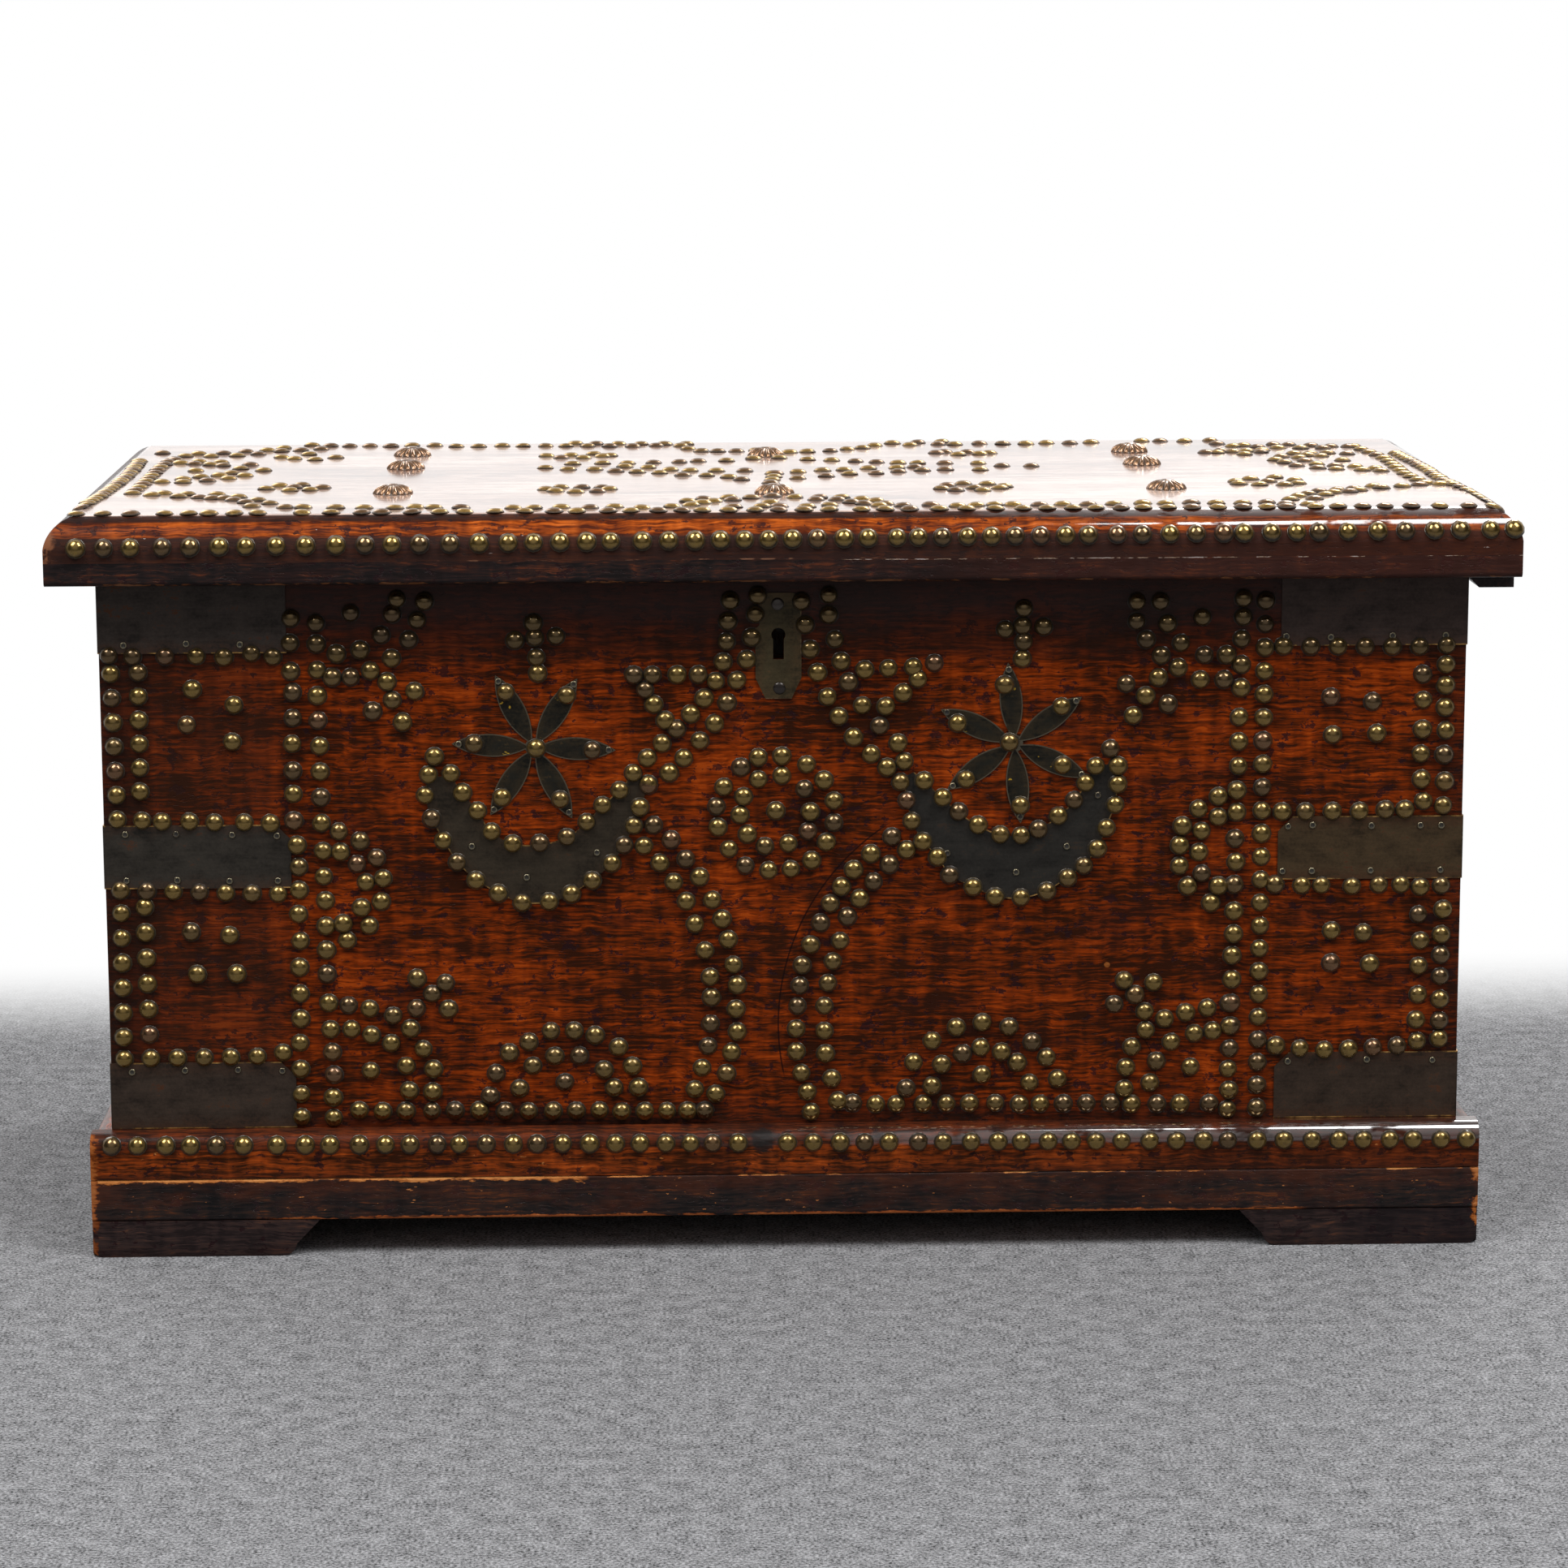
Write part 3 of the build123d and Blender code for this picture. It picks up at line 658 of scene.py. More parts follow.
@dataclass(frozen=True)
class PolishedTop:
    """The lid's boards: moulded teak edges, and an upper face that is French polished like glass, whose pale
    colours are partly a painted reflection of the white backdrop.
    """

    name: str
    # Pale colours of the upper face: partly a painted reflection of the white backdrop
    deep: Colour = paint(96, 62, 50)
    body: Colour = paint(170, 128, 108)
    bright: Colour = paint(226, 200, 184)
    moulded: Teak = Teak("moulded_edge")
    arris_z: float = 0.5722
    underside_z: float = 0.5718
    flat_from: float = LID_TOP_Z - 0.0012
    flat_at: float = LID_TOP_Z - 0.0002

    def build(self) -> bpy.types.Material:
        """Makes the material.

        Returns:
            The material, ready for a slot.
        """
        material, bench = new_bench(self.name)
        here = bench.place()
        edge = self.moulded
        side, _, relief = edge.figure(bench, here)
        for mark in edge.marks + edge.bare_wood_and_glints:
            side = bench.blend(mark.mask(bench, here), side, mark.colour)
        bent = edge.grain_place(bench, here)
        streak = bench.noise(bent, (7.0, 330.0, 330.0), 4.0, 0.66)
        cloud = bench.noise(here, (3.0, 9.0, 9.0), 4.0, 0.6)
        pit = bench.noise(bent, (40.0, 480.0, 480.0), 1.0)
        pitted = bench.rise(pit, 0.65, 0.70)
        stops = ((0.42, self.deep), (0.5, self.body), (0.58, self.bright))
        top = bench.ramp(streak * 0.6 + cloud * 0.4, stops)
        top = bench.blend(pitted * 0.7, top, paint(60, 36, 28))
        dry = bench.rise(bench.part(here, Axis.Z), self.arris_z, self.underside_z)
        lower = bench.node("BsdfPrincipled", inputs={
            "Base Color": side, "Roughness": 0.34 + dry * 0.3, "Specular IOR Level": 0.05,
            "Coat Weight": edge.lacquer(bench, here), "Coat Roughness": 0.06, "Coat IOR": 2.0,
            "Normal": bench.node("Bump", inputs={"Strength": 1.0, "Distance": 0.0003, "Height": relief}),
        })
        ripple = bench.noise(here, (14.0, 30.0, 30.0), 2.0)
        upper = bench.node("BsdfPrincipled", inputs={
            "Base Color": top, "Roughness": 0.16 + cloud * 0.14, "IOR": 2.4,
            "Coat Weight": 1.0, "Coat Roughness": 0.12,
            "Normal": bench.node("Bump", inputs={"Strength": 1.0, "Distance": 0.0002, "Height": ripple}),
        })
        flat = bench.rise(bench.part(here, Axis.Z), self.flat_from, self.flat_at)
        mixed = bench.node("MixShader", inputs={0: flat, 1: lower, 2: upper})
        bench.node("OutputMaterial", inputs={"Surface": mixed})
        return material


@dataclass(frozen=True)
class InsideWood:
    """Bare, dusty teak of the bottom, the till and the undersides."""

    name: str
    grain: Axis = Axis.X
    seed: float = 0.0

    def build(self) -> bpy.types.Material:
        """The material, ready for a slot."""
        plain = Teak(
            self.name, self.grain, paint(72, 44, 28), paint(108, 70, 44), paint(138, 94, 60),
            paint(160, 114, 76), polish=0.6, seed=self.seed, blots=0.5,
        )
        return plain.build()


class Outline(Protocol):
    """The edge of a piece of sheet brass."""

    def away(self, bench: Bench, place: Value) -> Value:
        """Distance from the nearest edge, in metres."""


@dataclass(frozen=True)
class StrapOutline:
    """A corner strap between its two level edges."""

    low: float
    high: float

    def away(self, bench: Bench, place: Value) -> Value:
        """Distance from the nearest edge, in metres."""
        height = bench.part(place, Axis.Z)
        return bench.math("MINIMUM", height - self.low, self.high - height)


@dataclass(frozen=True)
class KeptOutline:
    """An outline whose distance is kept with the mesh, in metres."""

    label: str = "inset"

    def away(self, bench: Bench, place: Value) -> Value:
        """Distance from the nearest edge, in metres."""
        return bench.attribute(self.label)


@dataclass(frozen=True)
class FlowerOutline:
    """Six pointed petals about a centre on the front."""

    x: float
    z: float
    turn: float
    middle: float = 0.0345
    half_width: float = 0.00925
    arc_radius: float = 0.0583

    def folded(self, bench: Bench, place: Value) -> tuple[Value, Value]:
        """Distance along a petal and to the side of its rib, folded onto one petal.

        Args:
            bench: the material's bench.
            place: the surface's place.

        Returns:
            Both distances in metres.
        """
        across, up = bench.part(place, Axis.X) - self.x, bench.part(place, Axis.Z) - self.z
        reach = bench.math("SQRT", across * across + up * up)
        angle = bench.math("ARCTAN2", up, across) - math.radians(self.turn - 30 - 360)
        leaf = bench.math("MODULO", angle, math.radians(60)) - math.radians(30)
        return reach * bench.math("COSINE", leaf), bench.math("ABSOLUTE", reach * bench.math("SINE", leaf))

    def away(self, bench: Bench, place: Value) -> Value:
        """Distance from the nearest edge.

        Args:
            bench: the material's bench.
            place: the surface's place.

        Returns:
            The distance in metres.
        """
        run, side = self.folded(bench, place)
        run = run - self.middle
        side = side + (self.arc_radius - self.half_width)
        return self.arc_radius - bench.math("SQRT", run * run + side * side)


@dataclass(frozen=True)
class PlateOutline:
    """An upright plate on the front."""

    left: float
    right: float
    low: float
    high: float

    def away(self, bench: Bench, place: Value) -> Value:
        """Distance from the nearest edge.

        Args:
            bench: the material's bench.
            place: the surface's place.

        Returns:
            The distance in metres.
        """
        across, height = bench.part(place, Axis.X), bench.part(place, Axis.Z)
        wide = bench.math("MINIMUM", across - self.left, self.right - across)
        tall = bench.math("MINIMUM", height - self.low, self.high - height)
        return bench.math("MINIMUM", wide, tall)


@dataclass(frozen=True)
class SheetBrass:
    """Sheet brass gone dark olive and rusty brown, bright along its rubbed edges."""

    name: str
    outline: Outline
    dark: Colour = paint(40, 34, 26)
    warm: Colour = paint(74, 46, 30)
    pale_marks: Colour = paint(206, 158, 92)
    warmth: float = 0.5
    edge_width: float = 0.0012
    edge_cover: float = 0.6
    scratches: float = 0.0
    seed: float = 0.0

    def build(self) -> bpy.types.Material:
        """Makes the material.

        Returns:
            The material, ready for a slot.
        """
        material, bench = new_bench(self.name)
        here = bench.place()
        place = here + (self.seed, self.seed, self.seed)
        cloud = bench.noise(place, (42.0, 42.0, 60.0), 5.0, 0.70)
        speck = bench.noise(place, 420.0, 3.0, 0.6)
        brushed = bench.noise(place, (30.0, 30.0, 420.0), 3.0, 0.6)
        patina = cloud * 0.62 + speck * 0.20 + brushed * 0.18
        high = 0.62 - 0.12 * self.warmth
        darkest, olive = (tinted(self.dark, (share,) * 3) for share in (0.48, 1.40))
        stops = ((0.36, darkest), (0.47, self.dark), (0.58, olive), (high + 0.06, self.warm))
        colour = bench.ramp(patina, stops)
        away = self.outline.away(bench, here)
        crept = bench.rise(away + (cloud - 0.5) * 0.05, 0.013, 0.002) * bench.rise(patina, 0.40, 0.56)
        colour = bench.blend(crept * (0.25 + 0.6 * self.warmth), colour, self.warm)
        rubbing = bench.noise(place, 60.0, 4.0, 0.7)
        limit = 0.70 - 0.35 * self.edge_cover
        rim = bench.rise(away, self.edge_width, 0.4 * self.edge_width)
        bright = rim * bench.rise(rubbing, limit - 0.05, limit + 0.05)
        if self.scratches > 0:
            scrape = bench.noise(place, (44.0, 44.0, 66.0), 3.0, 0.7)
            limit = 0.72 - 0.09 * self.scratches
            scraped = bench.rise(scrape, limit, limit + 0.02)
            colour = bench.blend(scraped, colour, paint(168, 134, 40))
        stops = ((limit, tinted(self.pale_marks, (0.3, 0.3, 0.3))), (limit + 0.16, self.pale_marks))
        rubbed = bench.ramp(rubbing, stops)
        colour = bench.blend(bright, colour, rubbed)
        roughness = 0.52 - speck * 0.2 + cloud * 0.1 - bright * 0.15
        metallic = bright * 0.5 + 0.3
        height = cloud * 0.6 + speck * 0.25
        bench.surface(colour, roughness, height, 0.0005, Specular_IOR_Level=0.2, Metallic=metallic)
        return material


@dataclass(frozen=True)
class NailBrass:
    """Domed brass nails: olive and polished on the crown, black round the foot with old lacquer and grime,
    and darker down the sides where shade is painted for the dark room that they reflect.
    """

    name: str
    crown: Colour = paint(144, 117, 60)
    dull: Colour = paint(114, 90, 58)
    copper: Colour = paint(128, 94, 64)
    foot: Colour = paint(20, 16, 12)
    shine: float = 0.19
    coat: float = 0.6
    brown: float = 0.10
    lid_shadow: tuple[float, float] | None = None

    def build(self) -> bpy.types.Material:
        """Makes the material.

        Returns:
            The material, ready for a slot.
        """
        material, bench = new_bench(self.name)
        place = bench.place()
        tone, grime = bench.attribute("tone"), bench.attribute("grime")
        stops = (
            (0.0, self.dull), (self.brown, self.dull), (self.brown + 0.16, self.crown), (0.95, self.crown),
            (0.97, self.copper),
        )
        colour = bench.ramp(tone, stops)
        zone = bench.noise(place, 7.0, 3.0, 0.6)
        tarnish = bench.noise(place, 260.0, 3.0, 0.6)
        colour = bench.blend(bench.rise(tarnish * 0.4 + zone * 0.6, 0.50, 0.62) * 0.5, colour, self.dull)
        # Painted shadow of the lid over the highest nails on the front
        if self.lid_shadow:
            lid_shadowed = bench.rise(bench.part(place, Axis.Z) + (zone - 0.5) * 0.05, *self.lid_shadow)
            colour = bench.blend(lid_shadowed * 0.75, colour, tinted(self.dull, (0.45, 0.45, 0.45)))
        # Blackens the foot and darkens the sides: old grime, and painted shade for the dark room that the
        # sides reflect
        caked_and_shaded = bench.rise(grime + (tarnish - 0.5) * 0.5, 0.10, 0.95)
        colour = bench.blend(caked_and_shaded * 0.96, colour, self.foot)
        roughness = tarnish * 0.12 + (self.shine - 0.05) + caked_and_shaded * 0.4
        bench.surface(
            colour, roughness, tarnish, 0.0001,
            Metallic=1.0 - caked_and_shaded * 0.7, Coat_Weight=self.coat, Coat_Roughness=0.08,
        )
        return material


@dataclass(frozen=True)
class CastBrass:
    """Cast brass of the handles: worn golden where hands rub it, brown elsewhere."""

    name: str
    golden: Colour = paint(186, 146, 84)
    brown: Colour = paint(74, 50, 30)

    def build(self) -> bpy.types.Material:
        """Makes the material.

        Returns:
            The material, ready for a slot.
        """
        material, bench = new_bench(self.name)
        place = bench.place()
        cloud = bench.noise(place, 60.0, 5.0, 0.65)
        grit = bench.noise(place, 520.0, 3.0, 0.6)
        colour = bench.ramp(cloud, ((0.34, self.brown), (0.50, self.golden)))
        roughness = 0.42 - cloud * 0.2 + grit * 0.1
        bench.surface(colour, roughness, grit, 0.0003, Metallic=0.9)
        return material


@dataclass(frozen=True)
class WroughtIron:
    """Hammered iron with a thin brown rust."""

    name: str
    iron: Colour = paint(44, 42, 42)
    rust: Colour = paint(94, 52, 30)

    def build(self) -> bpy.types.Material:
        """Makes the material.

        Returns:
            The material, ready for a slot.
        """
        material, bench = new_bench(self.name)
        place = bench.place()
        dents = bench.noise(place, 90.0, 2.0, 0.5)
        bloom = bench.noise(place, 140.0, 6.0, 0.7)
        rusty = bench.rise(bloom, 0.47, 0.62)
        colour = bench.blend(rusty, self.iron, self.rust)
        height = dents * 0.7 + bloom * 0.3
        bench.surface(colour, 0.42 + rusty * 0.35, height, 0.0009, Metallic=0.85 - rusty * 0.6)
        return material


# ----------------------------------------------------------------- nail making


@dataclass(frozen=True)
class Run:
    """A row of nails through points in mm.

    Without a count each point is a nail; with one, that many nails stand at even steps along a
    smooth line through the points.
    """

    points: tuple[Point, ...]
    count: int | None = None
    steps: int = 12

    def places(self) -> list[Point]:
        """Where the nails stand.

        Returns:
            Their places, in mm.
        """
        if self.count is None:
            return list(self.points)
        marks = [Vector(point) for point in self.points]
        marks = [2 * marks[0] - marks[1], *marks, 2 * marks[-1] - marks[-2]]
        shares = [step / self.steps for step in range(self.steps)]
        line = [self._between(marks[i : i + 4], share) for i in range(len(marks) - 3) for share in shares]
        line.append(marks[-2])
        travelled = [0.0]
        for first, second in zip(line, line[1:]):
            travelled.append(travelled[-1] + (second - first).length)
        places, at = [], 0
        for index in range(self.count):
            wanted = travelled[-1] * index / (self.count - 1)
            while at < len(line) - 2 and travelled[at + 1] < wanted:
                at += 1
            share = (wanted - travelled[at]) / (travelled[at + 1] - travelled[at])
            places.append(tuple(line[at].lerp(line[at + 1], share)))
        return places

    @staticmethod
    def _between(marks: Sequence[Vector], share: float) -> Vector:
        """A point of the smooth line through four marks.

        Args:
            marks: the four marks.
            share: how far the point lies from the second to the third, from 0 to 1.

        Returns:
            The point.
        """
        a, b, c, d = marks
        bend = (2 * a - 5 * b + 4 * c - d) * share**2 + (3 * b - a - 3 * c + d) * share**3
        return 0.5 * (2 * b + (c - a) * share + bend)


@dataclass(frozen=True)
class Seat:
    """Where a nail stands, and the direction that it was driven from."""

    place: Vector
    outward: Vector


@dataclass(frozen=True)
class Ground:
    """The pieces that nails are driven into, found by looking at them along a line."""

    nodes: tuple[str, ...]

    def seat(self, start: Vector, heading: Vector) -> Seat:
        """The first surface met from a starting point.

        Args:
            start: a point outside the chest.
            heading: the direction of looking.

        Returns:
            The seat on the nearest surface.
        """
        hits = []
        for name in self.nodes:
            met, place, normal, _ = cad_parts[name].ray_cast(start, heading)
            if met:
                hits.append(((place - start).length, place, normal))
        if not hits:
            raise ValueError(f"no surface under a nail at {tuple(start)}")
        _, place, normal = min(hits, key=lambda hit: hit[0])
        return Seat(place, normal.normalized())


@dataclass(frozen=True)
class NailShape:
    """Profile of a nail's head from the rim inwards, each point with its radius and height in mm and its
    darkening from 0 to 1, which is grime round the foot and painted shade down the sides, and how finely it
    is turned."""

    profile: tuple[tuple[float, float, float], ...]
    segments: int = 12

    def mesh(self) -> bpy.types.Mesh:
        """Turns the profile about Z, with the nail's foot at the origin.

        Returns:
            The head.
        """
        shape = bmesh.new()
        rim = [shape.verts.new((r * MM, 0.0, z * MM)) for r, z, _ in self.profile]
        edges = [shape.edges.new(pair) for pair in zip(rim, rim[1:])]
        bmesh.ops.spin(
            shape, geom=rim + edges, cent=(0, 0, 0), axis=(0, 0, 1), angle=math.tau,
            steps=self.segments, use_merge=True,
        )
        bmesh.ops.remove_doubles(shape, verts=shape.verts, dist=1e-6)
        bmesh.ops.holes_fill(shape, edges=shape.edges, sides=0)
        bmesh.ops.recalc_face_normals(shape, faces=shape.faces)
        return as_mesh("nail_head", shape)

    def grime(self, head: bpy.types.Mesh) -> list[float]:
        """The darkening of each vertex, grime and painted shade, from the nearest point of the profile.

        Args:
            head: the turned head.

        Returns:
            One number for each vertex.
        """
        found = []
        for vertex in head.vertices:
            reach, rise = math.hypot(vertex.co.x, vertex.co.y) / MM, vertex.co.z / MM
            nearest = min(self.profile, key=lambda point: abs(point[0] - reach) + abs(point[1] - rise))
            found.append(nearest[2])
        return found


# Third number of each point is its darkening: grime round the foot, and painted shade down the dome's sides
# for the dark room they reflect, which also hides stray highlights on the flange.
DOME = NailShape((
    (8.1, 0.0, 0.8), (8.0, 0.4, 0.6), (7.7, 0.3, 1.0), (7.5, 1.7, 0.9), (6.5, 3.8, 0.50), (4.7, 5.4, 0.20),
    (2.4, 6.3, 0.0), (0.0, 6.6, 0.0),
))
LOW_DOME = NailShape((
    (7.9, 0.0, 0.9), (7.7, 0.4, 0.7), (7.2, 0.7, 0.8), (6.2, 1.9, 0.3), (4.0, 2.9, 0.1), (0.0, 3.4, 0.0),
))
SMALL_DOME = NailShape((
    (5.6, 0.0, 0.6), (5.4, 0.4, 0.8), (4.8, 0.7, 1.0), (4.0, 2.2, 0.1), (2.3, 3.2, 0.0), (0.0, 3.7, 0.0),
), 10)
RING_PIN = NailShape(((2.9, 0.0, 0.5), (2.8, 0.9, 0.1), (2.2, 1.2, 0.0), (1.5, 0.6, 1.0), (0.0, 0.5, 0.9)), 8)
FLUSH_PIN = NailShape(((5.2, 0.0, 0.5), (5.0, 0.5, 0.2), (3.2, 1.1, 0.0), (0.0, 1.3, 0.0)), 12)


@dataclass
class Nailing:
    """One group of nails, made as a single piece that rides a body."""

    name: str
    seats: list[Seat]
    finish: bpy.types.Material
    body: str
    shape: NailShape = DOME
    slot: str = "nail_brass"
    tilt: float = 4.0
    spread: float = 0.04

    def build(self) -> bpy.types.Object:
        """Drives the nails, each a little askew and of its own size.

        Returns:
            The group's object, with each nail's tone and darkening (grime and painted shade) kept as
            attributes.
        """
        chance = random.Random(self.name)
        head = self.shape.mesh()
        darkening = self.shape.grime(head)
        stands, tones = [], []
        for seat in self.seats:
            lean = [math.radians(chance.uniform(-self.tilt, self.tilt)) for _ in range(2)]
            size = 1 + chance.uniform(-self.spread, self.spread)
            turn = seat.outward.to_track_quat("Z", "Y").to_matrix().to_4x4()
            sway = Matrix.Rotation(lean[0], 4, "X") @ Matrix.Rotation(lean[1], 4, "Y")
            sway = sway @ Matrix.Rotation(chance.uniform(0, math.tau), 4, "Z")
            grown = Matrix.Diagonal((size, size, size, 1))
            stands.append(Matrix.Translation(seat.place) @ turn @ sway @ grown)
            tones += [chance.random()] * len(darkening)
        mesh = gathered(self.name, head, stands)
        remember(mesh, tone=tones, grime=darkening * len(self.seats))
        return settle(mesh, self.finish, self.body)


def as_mesh(name: str, shape: bmesh.types.BMesh) -> bpy.types.Mesh:
    """Turns a finished shape into a mesh, and frees the shape.

    Args:
        name: the mesh's name.
        shape: the shape.

    Returns:
        The mesh.
    """
    mesh = bpy.data.meshes.new(name)
    shape.to_mesh(mesh)
    shape.free()
    return mesh


def gathered(name: str, head: bpy.types.Mesh, stands: Sequence[Matrix]) -> bpy.types.Mesh:
    """Copies a head to many places as one smooth mesh, and removes the head.

    Args:
        name: the new mesh's name.
        head: the mesh to copy.
        stands: where each copy goes.

    Returns:
        The new mesh.
    """
    shape = bmesh.new()
    for stand in stands:
        one = head.copy()
        one.transform(stand)
        shape.from_mesh(one)
        bpy.data.meshes.remove(one)
    bpy.data.meshes.remove(head)
    for face in shape.faces:
        face.smooth = True
    return as_mesh(name, shape)


def remember(mesh: bpy.types.Mesh, **numbers: list[float]) -> None:
    """Keeps a number with each vertex of a mesh.

    Args:
        mesh: the mesh.
        numbers: one list for each attribute's name.
    """
    for label, values in numbers.items():
        mesh.attributes.new(label, "FLOAT", "POINT").data.foreach_set("value", values)


def in_scene(name: str, data: bpy.types.ID) -> bpy.types.Object:
    """Puts a mesh, a lamp or a camera in the scene.

    Args:
        name: the object's name.
        data: what the object holds.

    Returns:
        The object.
    """
    made = bpy.data.objects.new(name, data)
    bpy.context.scene.collection.objects.link(made)
    return made


def settle(mesh: bpy.types.Mesh, finish: bpy.types.Material, body: str) -> bpy.types.Object:
    """Puts a new mesh in the scene as a finished piece of the same name.

    Args:
        mesh: the mesh, already in place.
        finish: its material.
        body: the body that it moves with.

    Returns:
        The piece.
    """
    mesh.materials.append(finish)
    piece = in_scene(mesh.name, mesh)
    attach(piece, body)
    return piece


def dress(finish: Finish, *nodes: str) -> None:
    """Gives CAD nodes a finish.

    Args:
        finish: the finish to build.
        nodes: names of the nodes.
    """
    material = finish.build()
    for name in nodes:
        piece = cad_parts[name]
        for place in piece.material_slots:
            place.material = material
        log.info("%s dressed in %s", name, finish.name)


# -------------------------------------------------------------------- nail rows

PLINTH_ROW = (
    -549, -528, -505, -485, -464, -442, -415, -392, -372, -348, -327, -307, -285, -267, -245, -223, -204,
    -183, -161, -140, -120, -99, -79, -61, -40, 0, 21, 43, 63, 83, 107, 127, 150, 172, 191, 213, 232, 252,
    273, 296, 318, 340, 360, 384, 406, 429, 451, 471, 493, 512, 535, 556,
)
THUMB_ROW = (
    -561, -539, -518, -493, -471, -448, -427, -403, -380, -356, -333, -312, -290, -266, -243, -220, -200,
    -179, -158, -139, -114, -93, -72, -52, -33, -14, 5, 25, 46, 65, 88, 105, 124, 144, 163, 182, 202, 222,
    240, 263, 283, 305, 326, 348, 364, 386, 406, 424, 447, 471, 493, 516, 537, 561, 580,
)
ARRIS_ROW = (
    -563, -542, -520, -493, -474, -458, -438, -419, -384, -361, -337, -321, -297, -275, -255, -231, -207,
    -184, -166, -141, -123, -101, -82, -66, -45, -24, -5, 15, 35, 61, 80, 99, 123, 145, 168, 190, 209, 230,
    248, 268, 286, 306, 325, 346, 366, 385, 401, 424, 442, 462, 480, 501, 524, 547, 567,
)
RING_PINS = Run((
    (-254, 335), (-210, 309), (-153, 329), (253, 373), (228, 331), (187, 310), (131, 326), (-533, 347),
    (-492, 347), (-447, 346), (-411, 345), (-533, 309), (-492, 309), (-450, 308), (-411, 308), (-533, 150),
    (-490, 151), (-447, 151), (-411, 150), (-530, 501), (-480, 502), (-437, 501), (533, 346), (516, 346),
    (428, 347), (408, 346), (476, 346), (533, 309), (476, 309), (428, 309), (404, 309), (530, 150),
    (476, 151), (411, 150), (533, 502), (490, 502), (440, 501), (404, 502),
))
PLATE_PINS = Run(((-6.1, 531.1), (-5.0, 462.5)))
